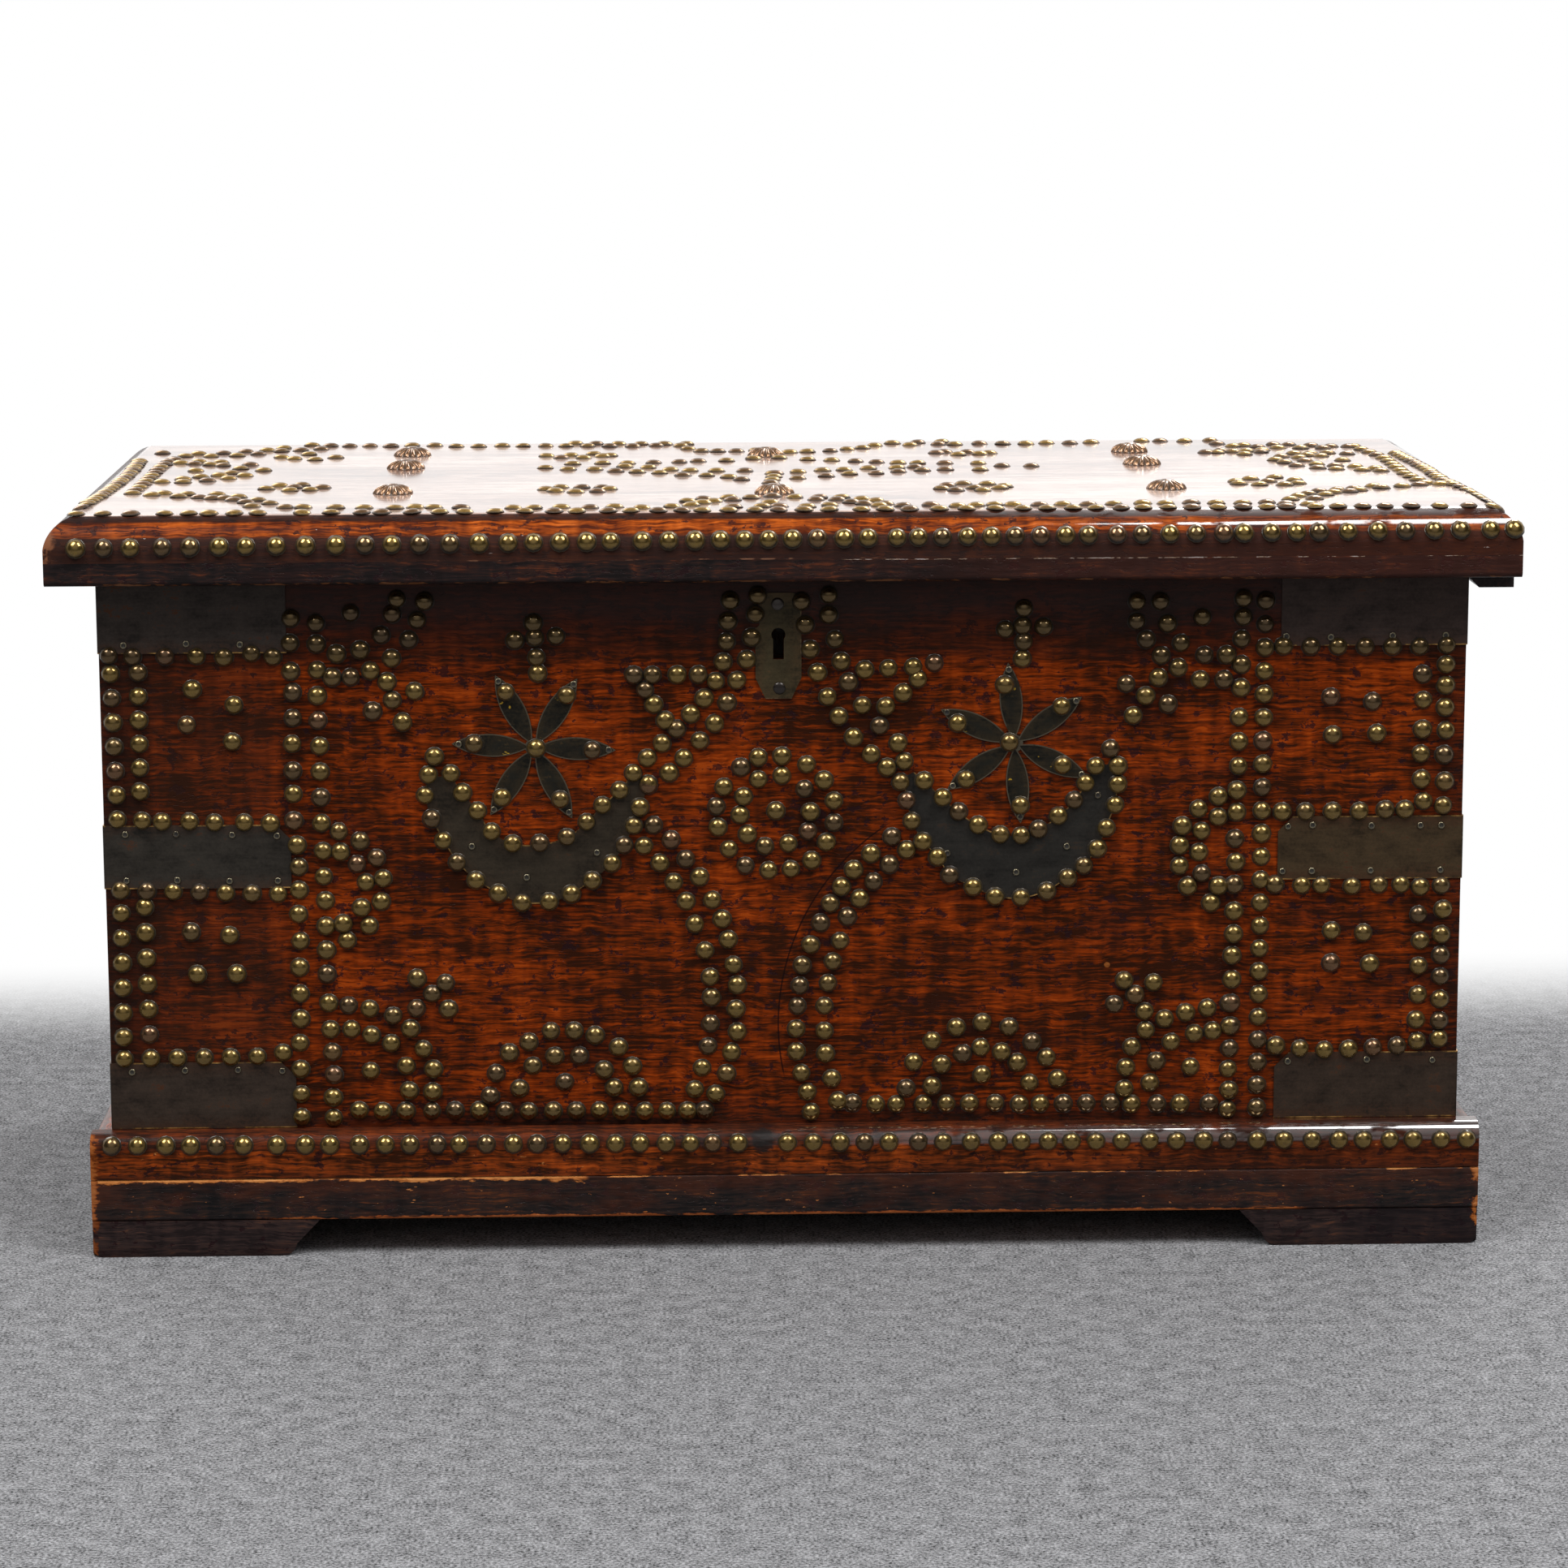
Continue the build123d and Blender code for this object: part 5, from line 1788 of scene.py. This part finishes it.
@dataclass
class BrassSheets:
    """Corner straps, flowers and the keyhole plate."""

    levels: tuple[tuple[str, float, float], ...] = (
        ("top", 0.4941, 0.5711), ("middle", 0.30205, 0.35405), ("bottom", 0.1024, 0.1574),
    )
    flowers: tuple[tuple[str, float, float, float], ...] = (
        ("left", -0.203, -2.7, 0.3), ("right", 0.185, 34.7, 1.0),
    )
    flower_z: float = 0.416

    def _straps(self) -> None:
        """Dresses the six corner straps, each with its own tone and rustiness."""
        tints = {
            "left top": (53, 46, 42, 0.6), "right top": (55, 44, 40, 0.3),
            "left middle": (46, 42, 37, 0.25), "right middle": (60, 47, 31, 0.7),
            "left bottom": (53, 43, 36, 0.3), "right bottom": (51, 40, 32, 0.5),
        }
        for index, (level, low, high) in enumerate(self.levels):
            for side, seed in (("left", 0.5), ("right", 3.1)):
                *dark, warmth = tints[f"{side} {level}"]
                strap = SheetBrass(
                    f"strap_brass_{side}_{level}", StrapOutline(low, high), paint(*dark),
                    warmth=warmth, seed=index + seed,
                )
                dress(strap, f"corner_strap_{side}_{level}")

    def pin_places(self, reach: float) -> tuple[Point, ...]:
        """Places of the pins near the petals' tips.

        Args:
            reach: distance from the flower's centre in mm.

        Returns:
            The places across and up in mm, petal by petal.
        """
        return tuple(
            (x / MM + reach * math.cos(angle), self.flower_z / MM + reach * math.sin(angle))
            for _, x, turn, _ in self.flowers
            for angle in [math.radians(turn + 60 * petal) for petal in range(6)]
        )

    def build(self) -> None:
        """Dresses every sheet but the crescents."""
        self._straps()
        for side, x, turn, scratched in self.flowers:
            petals = SheetBrass(
                f"flower_brass_{side}", FlowerOutline(x, self.flower_z, turn), paint(26, 25, 20),
                paint(58, 46, 29), paint(176, 162, 138), edge_cover=1.0, scratches=scratched, seed=4 + x,
            )
            dress(petals, f"flower_{side}")
        plate = SheetBrass(
            "keyhole_brass", PlateOutline(-0.024, 0.013, 0.454, 0.540), paint(58, 50, 33), paint(84, 62, 40),
            paint(150, 126, 96), 0.4, 0.0010, 0.5,
        )
        dress(plate, "escutcheon")


@dataclass
class Crescent:
    """A sheet crescent lying on its back, between two lines through its edge nails in mm."""

    side: str
    outer: tuple[Point, ...]
    inner: tuple[Point, ...]
    dark: Colour
    warm: Colour
    steps: int = 48
    thickness: float = 0.001

    def _sheet(self) -> bpy.types.Mesh:
        """Models the sheet on the front.

        Returns:
            The mesh, with each vertex's distance from the nearest edge in metres.
        """
        outer, inner = (Run(line, self.steps + 1).places() for line in (self.outer, self.inner))
        shape = bmesh.new()
        bmesh.ops.create_grid(shape, x_segments=self.steps, y_segments=4, size=0.5)
        kept = shape.verts.layers.float.new("inset")
        for vertex in shape.verts:
            index, across = round((vertex.co.x + 0.5) * self.steps), vertex.co.y + 0.5
            low, high = Vector(outer[index]), Vector(inner[index])
            at = low.lerp(high, across) * MM
            vertex[kept] = min(across, 1 - across) * (high - low).length * MM
            vertex.co = (at.x, FRONT_FACE_Y - self.thickness, at.y)
        bmesh.ops.recalc_face_normals(shape, faces=shape.faces)
        if sum(face.normal.y for face in shape.faces) > 0:
            bmesh.ops.reverse_faces(shape, faces=shape.faces)
        bmesh.ops.solidify(shape, geom=shape.faces[:], thickness=self.thickness)
        return as_mesh(f"crescent_sheet_{self.side}", shape)

    def build(self) -> None:
        """Lays the crescent in place of its plain solid."""
        mesh = self._sheet()
        brass = SheetBrass(
            f"crescent_brass_{self.side}", KeptOutline(), self.dark, self.warm, seed=len(self.inner)
        )
        piece = settle(mesh, brass.build(), "chest")
        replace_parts(piece, f"crescent_{self.side}")
        log.info("%s laid", piece.name)


LEFT_CRESCENT = Crescent(
    "left",
    (
        (-289, 392), (-291, 377), (-286, 358), (-277, 340), (-266, 322), (-251, 307), (-233, 296),
        (-214, 288), (-192, 288), (-174, 295), (-157, 306), (-141, 320), (-131, 335), (-123, 351),
        (-117, 366), (-111, 386),
    ),
    (
        (-270, 393), (-261, 379), (-249, 364), (-238, 347), (-221, 337), (-199, 336), (-177, 342),
        (-161, 354), (-148, 368), (-134, 381), (-122, 395),
    ),
    paint(47, 40, 31), paint(66, 48, 34),
)
RIGHT_CRESCENT = Crescent(
    "right",
    (
        (95, 389), (98, 370), (102, 353), (111, 336), (123, 323), (133, 308), (152, 298), (170, 290),
        (191, 288), (212, 294), (229, 305), (242, 315), (253, 329), (260, 346), (267, 365), (269, 382),
        (268, 398),
    ),
    (
        (104, 393), (112, 386), (127, 372), (140, 360), (156, 349), (174, 341), (191, 340), (205, 345),
        (221, 356), (234, 369), (243, 383), (251, 398),
    ),
    paint(37, 35, 32), paint(54, 44, 36),
)


@dataclass
class Ironwork:
    """The lock and the hinges."""

    hinge_parts: tuple[str, ...] = ("hinge_body_leaf", "hinge_lid_strap", "hinge_pin")

    def build(self) -> None:
        """Dresses the iron pieces."""
        leaves = [f"{part}_{name}" for part in self.hinge_parts for _, name in SIDES]
        dress(WroughtIron("hinge_iron"), *leaves)
        lock = WroughtIron("lock_iron", paint(58, 55, 52), paint(84, 54, 36))
        dress(lock, "lock_case", "lock_bolt", "lock_staple")


@dataclass
class Handles:
    """Drop handles on the ends: plates and posts are dressed, each bail is modelled round and smooth."""

    axis_x: float = 0.565
    axis_z: float = 0.345
    middle_y: float = 0.008
    bar_radius: float = 0.0045
    grip_radius: float = 0.0068
    half_span: float = 0.047
    drop: float = 0.052
    bend: float = 0.012
    bend_steps: int = 8
    shoulder_gap: float = 0.010
    swell: tuple[tuple[float, float], ...] = ((0.5, 0.97), (0.85, 0.86), (1.0, 0.78), (1.06, 0.66))
    eye_radius: float = 0.00576
    pin_radius: float = 0.004
    pin_end: float = 0.057
    head_radius: float = 0.006
    head_end: float = 0.0595
    sides: int = 16

    def _half_bail(self) -> bmesh.types.BMesh:
        """Models half of a bail, from the middle of its grip up to its eye.

        Returns:
            The bar at the right end, on the far side of the handle's middle.
        """
        shape = bmesh.new()
        bmesh.ops.create_circle(shape, segments=self.sides, radius=1.0)
        low = self.axis_z - self.drop
        lay = Matrix.Translation((self.axis_x, self.middle_y, low)) @ Matrix.Rotation(math.pi / 2, 4, "X")
        bmesh.ops.transform(shape, matrix=lay @ Matrix.Scale(self.grip_radius, 4), verts=shape.verts)
        ring = list(shape.edges)
        straight = self.half_span - self.bend
        for share, radius in self.swell:
            reach = share * (straight - self.shoulder_gap)
            ring = self._pulled(shape, ring, reach, low, radius * self.grip_radius)
        ring = self._pulled(shape, ring, straight, low, self.bar_radius)
        ring = self._turned(shape, ring, Vector((self.axis_x, self.middle_y + straight, low + self.bend)))
        ring, verts = self._doubled(shape, ring)
        for vertex in verts:
            vertex.co.z = self.axis_z - self.pin_radius * 0.6
        bmesh.ops.holes_fill(shape, edges=ring, sides=0)
        return shape

    def _pulled(self, shape: bmesh.types.BMesh, ring: Ring, reach: float, low: float, radius: float) -> Ring:
        """Draws a ring out along the grip to a new place and radius.

        Args:
            shape: the mesh.
            ring: the open ring of edges.
            reach: how far the new ring lies from the middle of the grip.
            low: height of the grip's line.
            radius: radius of the new ring.

        Returns:
            The new open ring.
        """
        ring, verts = self._doubled(shape, ring)
        centre = Vector((self.axis_x, self.middle_y, low)) + Vector((0, reach, 0))
        for vertex in verts:
            arm = vertex.co - centre
            arm.y = 0.0
            vertex.co = centre + arm.normalized() * radius
        return ring

    @staticmethod
    def _doubled(shape: bmesh.types.BMesh, ring: Ring) -> tuple[Ring, list[bmesh.types.BMVert]]:
        """Extrudes a ring in place.

        Args:
            shape: the mesh.
            ring: the open ring of edges.

        Returns:
            The new ring and its points.
        """
        made = bmesh.ops.extrude_edge_only(shape, edges=ring)["geom"]
        verts = [part for part in made if isinstance(part, bmesh.types.BMVert)]
        edges = [part for part in made if isinstance(part, bmesh.types.BMEdge)]
        return edges, verts

    def _turned(self, shape: bmesh.types.BMesh, ring: Ring, hub: Vector) -> Ring:
        """Bends the bar up through a quarter turn.

        Args:
            shape: the mesh.
            ring: the open ring of edges.
            hub: the centre of the bend.

        Returns:
            The new open ring.
        """
        verts = list({vertex for edge in ring for vertex in edge.verts})
        made = bmesh.ops.spin(
            shape, geom=verts + ring, cent=hub, axis=(1, 0, 0), angle=math.pi / 2,
            steps=self.bend_steps, use_merge=False,
        )["geom_last"]
        return [part for part in made if isinstance(part, bmesh.types.BMEdge)]

    def _bail(self, side: int, name: str, finish: bpy.types.Material) -> None:
        """Makes one bail.

        Args:
            side: -1 for the left end, 1 for the right.
            name: left or right.
            finish: the brass of the handles.
        """
        half = self._half_bail()
        eye = bmesh.ops.create_uvsphere(half, u_segments=16, v_segments=10, radius=self.eye_radius)["verts"]
        middle = Vector((self.axis_x, self.middle_y + self.half_span, self.axis_z))
        bmesh.ops.translate(half, verts=eye, vec=middle)
        for radius, first, last in (
            (self.pin_radius, self.half_span, self.pin_end),
            (self.head_radius, self.pin_end, self.head_end),
        ):
            disc = bmesh.ops.create_cone(
                half, cap_ends=True, segments=20, radius1=radius, radius2=radius, depth=last - first
            )["verts"]
            lay = Matrix.Translation((self.axis_x, self.middle_y + (first + last) / 2, self.axis_z))
            bmesh.ops.transform(half, matrix=lay @ Matrix.Rotation(math.pi / 2, 4, "X"), verts=disc)
        bmesh.ops.mirror(
            half, geom=half.verts[:] + half.edges[:] + half.faces[:], axis="Y",
            matrix=Matrix.Translation((0, -self.middle_y, 0)), merge_dist=1e-5,
        )
        if side < 0:
            bmesh.ops.scale(half, vec=(-1, 1, 1), verts=half.verts)
        bmesh.ops.recalc_face_normals(half, faces=half.faces)
        for face in half.faces:
            face.smooth = True
        mesh = as_mesh(f"drop_handle_{name}", half)
        mesh.set_sharp_from_angle(angle=math.radians(40))
        piece = settle(mesh, finish, f"handle_{name}")
        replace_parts(piece, f"handle_bail_{name}")
        log.info("%s modelled", piece.name)

    def build(self) -> None:
        """Dresses plates and posts and makes both bails."""
        brass = CastBrass("handle_brass")
        dress(brass, *[f"handle_{part}_{name}" for part in ("plate", "posts") for _, name in SIDES])
        finish = CastBrass("bail_brass", golden=paint(196, 156, 92)).build()
        for side, name in SIDES:
            self._bail(side, name, finish)


@dataclass
class Rosettes:
    """Eight large gadrooned nails on the lid, made as one piece."""

    side_x: float = 0.320
    side_rows: tuple[float, ...] = (-0.116, 0.076, 0.182)
    centre_x: float = -0.0055
    centre_rows: tuple[float, ...] = (-0.130, 0.164)
    lobes: int = 16
    profile: tuple[tuple[float, float, float], ...] = (
        (16.8, 0.0, 0.6), (16.6, 1.3, 0.4), (15.2, 3.4, 0.0), (12.4, 5.4, 0.0), (8.6, 6.9, 0.0),
        (5.6, 7.2, 0.5), (4.8, 7.2, 0.8), (4.2, 7.8, 0.0), (0.0, 8.0, 0.0),
    )
    plain_radius: float = 0.0055
    groove: float = 0.0028
    groove_start: float = 0.005
    pinch: float = 0.10
    tone: float = 0.55

    def _head(self) -> tuple[bpy.types.Mesh, list[float]]:
        """Models one rosette at the origin, its skirt pinched into lobes.

        Returns:
            The mesh and the darkening of its vertices, grime and painted shade.
        """
        turned = NailShape(self.profile, 4 * self.lobes)
        mesh = turned.mesh()
        darkening = turned.grime(mesh)
        for index, vertex in enumerate(mesh.vertices):
            reach = math.hypot(vertex.co.x, vertex.co.y)
            valley = (0.5 - 0.5 * math.cos(self.lobes * math.atan2(vertex.co.y, vertex.co.x))) ** 2
            share = max(0.0, min(1.0, (reach - self.plain_radius) / self.groove_start)) * valley
            vertex.co.x *= 1 - self.pinch * share
            vertex.co.y *= 1 - self.pinch * share
            vertex.co.z = max(0.0, vertex.co.z - self.groove * share)
            darkening[index] = max(darkening[index], 0.9 * share)
        return mesh, darkening

    def build(self) -> None:
        """Stands the rosettes on the lid in place of their plain solids."""
        places = [(side * self.side_x, y) for side, _ in SIDES for y in self.side_rows]
        places += [(self.centre_x, y) for y in self.centre_rows]
        chance = random.Random("rosettes")
        stands = [
            Matrix.Translation((x, y, LID_TOP_Z)) @ Matrix.Rotation(chance.uniform(0, math.tau), 4, "Z")
            for x, y in places
        ]
        head, darkening = self._head()
        mesh = gathered("rosette_nails", head, stands)
        remember(mesh, tone=[self.tone] * len(mesh.vertices), grime=darkening * len(places))
        copper = NailBrass("rosette_brass", paint(136, 100, 70), paint(92, 66, 46), shine=0.26).build()
        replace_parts(settle(mesh, copper, "lid"), "lid_rosettes")
        log.info("rosette_nails: %d rosettes", len(places))


@dataclass
class Studs:
    """All the small nails: rows on the front, the plinth, the ends and the lid, ring pins and flush pins."""

    strap_middles: tuple[float, ...] = (0.5326, 0.328, 0.130)
    strap_steps: tuple[float, ...] = (-0.016, 0.0, 0.016)
    strap_back_y: float = -0.143
    end_columns: tuple[float, ...] = (-0.121, -0.100)
    column_low: float = 0.112
    column_high: float = 0.535
    column_pitch: float = 0.0215
    plinth_heights: Point = (0.0935, 0.0885)
    thumb_heights: Point = (0.5838, 0.5918)
    arris_y: float = -0.2535
    plate_y: tuple[float, ...] = (-0.067, 0.083)
    plate_z: tuple[float, ...] = (0.333, 0.357)
    hinge_x: float = 0.330
    leaf_z: tuple[float, ...] = (0.492, 0.516, 0.540)
    strap_y: tuple[float, ...] = (0.120, 0.160, 0.200, 0.235)
    inside_z: float = 0.4
    petal_pin_reach: float = 60.5

    def _front(self, runs: Iterable[Run]) -> list[Seat]:
        """Seats of rows drawn on the front.

        Args:
            runs: the rows, in mm across and up.

        Returns:
            One seat for each nail.
        """
        names = (
            "front_board", "escutcheon", "crescent_left", "crescent_right", "flower_left", "flower_right"
        )
        straps = tuple(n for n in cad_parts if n.startswith("corner_strap"))
        ground = Ground(names + straps)
        marks = [mark for run in runs for mark in run.places()]
        return [ground.seat(Vector((x * MM, -AFAR, z * MM)), BACKWARDS) for x, z in marks]

    def _column(self, ground: Ground, side: int, y: float) -> list[Seat]:
        """Seats at even steps up an end board.

        Args:
            ground: what the nails are driven into.
            side: -1 for the left end, 1 for the right.
            y: the column's place from front to back.

        Returns:
            The seats, from low to high.
        """
        low, high = (Vector((side * AFAR, y, z)) for z in (self.column_low, self.column_high))
        steps = round((high - low).length / self.column_pitch)
        inwards = Vector((-side, 0, 0))
        return [ground.seat(low.lerp(high, step / steps), inwards) for step in range(steps + 1)]

    def _ends(self) -> list[Seat]:
        """Seats on both end boards.

        Returns:
            The seats at the straps' back ends and in two columns behind them.
        """
        seats = []
        for side, name in SIDES:
            straps = tuple(f"corner_strap_{name}_{level}" for level in ("top", "middle", "bottom"))
            ground, inwards = Ground((f"end_board_{name}", "front_board", *straps)), Vector((-side, 0, 0))
            heights = [z + step for z in self.strap_middles for step in self.strap_steps]
            seats += [ground.seat(Vector((side * AFAR, self.strap_back_y, z)), inwards) for z in heights]
            for y in self.end_columns:
                seats += self._column(ground, side, y)
        return seats

    def _plates(self) -> list[Seat]:
        """Seats on the handle plates.

        Returns:
            The seats at the plates' corners.
        """
        seats = []
        for side, name in SIDES:
            ground, inwards = Ground((f"handle_plate_{name}", f"end_board_{name}")), Vector((-side, 0, 0))
            starts = [Vector((side * AFAR, y, z)) for y in self.plate_y for z in self.plate_z]
            seats += [ground.seat(start, inwards) for start in starts]
        return seats

    def _climbing(self, node: str, row: tuple[int, ...], heights: Point) -> list[Seat]:
        """Seats on the front along a line that isn't quite level.

        Args:
            node: what the nails are driven into.
            row: each nail's place across, in mm.
            heights: heights of the first and the last nail.

        Returns:
            The seats.
        """
        ground, (first, last) = Ground((node,)), heights
        climb = (last - first) / (row[-1] - row[0])
        starts = [Vector((x * MM, -AFAR, first + (x - row[0]) * climb)) for x in row]
        return [ground.seat(start, BACKWARDS) for start in starts]

    def _top(self) -> list[Seat]:
        """Seats on the lid's top.

        Returns:
            The seats of its figures and of the row along its front arris.
        """
        ground, down = Ground(("lid_plank_front", "lid_plank_back")), Vector((0, 0, -1))
        marks = [(x * MM, y * MM) for run in LID_RUNS for x, y in run.places()]
        marks += [(x * MM, self.arris_y) for x in ARRIS_ROW]
        return [ground.seat(Vector((x, y, AFAR)), down) for x, y in marks]

    def _hinge_nails(self) -> tuple[list[Seat], list[Seat]]:
        """Seats on the hinges.

        Returns:
            The seats on the back leaves, and those on the straps under the lid.
        """
        leaf, strap = [], []
        for side, name in SIDES:
            x = side * self.hinge_x
            outside, under = Ground((f"hinge_body_leaf_{name}",)), Ground((f"hinge_lid_strap_{name}",))
            leaf += [outside.seat(Vector((x, AFAR, z)), -BACKWARDS) for z in self.leaf_z]
            strap += [under.seat(Vector((x, y, self.inside_z)), Vector((0, 0, 1))) for y in self.strap_y]
        return leaf, strap

    def build(self) -> None:
        """Drives every group of nails."""
        brass = NailBrass("domed_brass").build()
        # The front's nails, with the lid's shadow painted over the highest rows
        front_brass = NailBrass("front_brass", lid_shadow=(0.470, 0.505)).build()
        worn_brass = NailBrass(
            "worn_brass", paint(156, 122, 62), paint(116, 86, 56), shine=0.22, coat=0.0, brown=0.26
        ).build()
        bronze = NailBrass("ring_pin_brass", paint(140, 130, 104), paint(104, 94, 76), shine=0.3).build()
        iron = NailBrass(
            "nail_iron", paint(70, 64, 60), paint(46, 38, 34), paint(70, 60, 54), shine=0.4
        ).build()
        leaf, strap = self._hinge_nails()
        plinth = self._climbing("plinth_moulding_front", PLINTH_ROW, self.plinth_heights)
        thumb = self._climbing("lid_plank_front", THUMB_ROW, self.thumb_heights)
        pins = self._front((RING_PINS, Run(BrassSheets().pin_places(self.petal_pin_reach))))
        groups = (
            Nailing("front_nails", self._front(FRONT_RUNS), front_brass, "chest"),
            Nailing("end_nails", self._ends(), brass, "chest"),
            Nailing("handle_plate_nails", self._plates(), brass, "chest", SMALL_DOME),
            Nailing("plinth_nails", plinth, brass, "chest"),
            Nailing("lid_edge_nails", thumb, brass, "lid"),
            Nailing("lid_top_nails", self._top(), worn_brass, "lid", LOW_DOME),
            Nailing("ring_pins", pins, bronze, "chest", RING_PIN),
            Nailing("keyhole_plate_pins", self._front((PLATE_PINS,)), iron, "chest", FLUSH_PIN),
            Nailing("hinge_leaf_nails", leaf, iron, "chest", SMALL_DOME, "wrought_iron"),
            Nailing("hinge_strap_nails", strap, iron, "lid", SMALL_DOME, "wrought_iron"),
        )
        for group in groups:
            piece = group.build()
            log.info("%s: %d nails", piece.name, len(group.seats))


# ----------------------------------------------------------------------- studio


@dataclass
class Studio:
    """Camera, soft lamps, world and a pale floor."""

    eye: tuple[float, float, float] = (-0.09723, -3.7980, 1.0236)
    yaw: float = 0.026969
    pitch: float = 0.177905
    roll: float = -0.003058
    lens: float = 102.65
    aim: tuple[float, float, float] = (0.0, 0.0, 0.33)
    lamps: tuple[tuple[str, tuple[float, float, float], Point, float], ...] = (
        ("key_left", (-1.5, -1.6, 3.3), (1.2, 2.0), 84.0),
        ("key_right", (1.5, -1.6, 3.3), (1.2, 2.0), 84.0),
        ("fill_left", (-1.6, 2.4, 2.0), (1.5, 1.5), 25.0),
        ("fill_right", (0.95, 1.45, 1.9), (0.9, 0.45), 25.0),
    )
    ambient: float = 0.45
    room_front: float = 0.08
    room_back: float = 0.92
    room_glow: float = 0.45
    floor_radius: float = 14.0
    floor_grey: float = 0.21
    fade_start: float = 0.46
    fade_end: float = 0.86

    def _camera(self) -> None:
        """Makes the camera."""
        cos, sin = math.cos, math.sin
        ahead = Vector((sin(self.yaw) * cos(self.pitch), cos(self.yaw) * cos(self.pitch), -sin(self.pitch)))
        right = Vector((cos(self.yaw), -sin(self.yaw), 0.0))
        above = right.cross(ahead)
        leaned = cos(self.roll) * right + sin(self.roll) * above
        above = cos(self.roll) * above - sin(self.roll) * right
        data = bpy.data.cameras.new("camera")
        data.lens, data.sensor_width, data.clip_end = self.lens, 36.0, 60.0
        camera = in_scene("camera", data)
        turned = Matrix((leaned, above, -ahead)).transposed().to_4x4()
        camera.matrix_world = Matrix.Translation(self.eye) @ turned
        bpy.context.scene.camera = camera

    def _lamp(self, name: str, place: tuple[float, float, float], size: Point, power: float) -> None:
        """A soft lamp aimed at the chest.

        Args:
            name: the lamp's name.
            place: where it hangs.
            size: its width and height in metres.
            power: its power in watts.
        """
        data = bpy.data.lights.new(name, "AREA")
        data.shape = "RECTANGLE"
        data.size, data.size_y, data.energy = *size, power
        lamp = in_scene(name, data)
        lamp.location = place
        aim = Vector(self.aim) - lamp.location
        lamp.rotation_euler = aim.to_track_quat("-Z", "Y").to_euler()

    def _world(self) -> None:
        """A plain white world: white behind the chest, and dimmer where it stands before it."""
        world = bpy.data.worlds.new("studio")
        bpy.context.scene.world = world
        world.use_nodes = True
        bench = Bench(world.node_tree)
        mirrored = bench.ray("Glossy")
        direction = bench.node("TexCoord", output="Generated")
        behind = bench.rise(bench.part(direction, Axis.Y), -0.1, 0.55)
        height = bench.part(direction, Axis.Z)
        middle = bench.rise(bench.math("ABSOLUTE", bench.part(direction, Axis.X)), 0.8, 0.15)
        glow = bench.rise(height, -0.5, 0.7) * bench.rise(height, 1.0, 0.85) * middle
        seen = bench.math("MINIMUM", 1.0, bench.ray("Camera") + bench.ray("Transmission"))
        room = behind * (self.room_back - glow * self.room_glow) + glow * self.room_glow + self.room_front
        level = seen + mirrored * room + (1.0 - seen - mirrored) * self.ambient
        back = bench.node("Background", inputs={"Color": (1.0, 1.0, 1.0), "Strength": level})
        bench.node("OutputWorld", inputs={"Surface": back})

    def _felt(self) -> bpy.types.Material:
        """Grey felt that fades into the white behind the chest.

        Returns:
            The floor's material.
        """
        material, bench = new_bench("felt_floor")
        place = bench.place()
        rays = bench.ray("Camera") + bench.ray("Glossy") + bench.ray("Transmission")
        seen = bench.math("MINIMUM", 1.0, rays)
        fade = bench.rise(bench.part(place, Axis.Y), self.fade_start, self.fade_end) * seen
        wool, tuft = bench.noise(place, 420.0, 3.0, 0.7), bench.noise(place, 60.0, 3.0, 0.6)
        grey = (wool - 0.5) * 1.1 + (tuft - 0.5) * 0.3 + self.floor_grey
        tint = bench.node("CombineColor", inputs={0: grey, 1: grey, 2: grey * 1.03})
        plain = {"Base Color": tint, "Roughness": 0.95, "Specular IOR Level": 0.1}
        felt = bench.node("BsdfPrincipled", inputs=plain)
        white = bench.node("Emission", inputs={"Color": (1.0, 1.0, 1.0), "Strength": 1.0})
        mixed = bench.node("MixShader", inputs={0: fade, 1: felt, 2: white})
        bench.node("OutputMaterial", inputs={"Surface": mixed})
        return material

    def _floor(self) -> None:
        """Lays the floor."""
        shape = bmesh.new()
        bmesh.ops.create_circle(shape, cap_ends=True, segments=96, radius=self.floor_radius)
        mesh = as_mesh("floor", shape)
        mesh.materials.append(self._felt())
        in_scene("floor", mesh)

    def build(self) -> None:
        """Sets the whole studio up."""
        bpy.context.scene.view_settings.view_transform = "Standard"
        self._camera()
        for lamp in self.lamps:
            self._lamp(*lamp)
        self._world()
        self._floor()
        log.info("studio set")


def main() -> None:
    """Builds everything in order."""
    logging.basicConfig(level=logging.INFO, format="%(message)s")
    parts = (
        Studio(), Carcase(), Plinth(), Lid(), BrassSheets(), Ironwork(), Handles(), Rosettes(), Studs(),
        LEFT_CRESCENT, RIGHT_CRESCENT,
    )
    for part in parts:
        part.build()


if __name__ == "__main__":
    main()
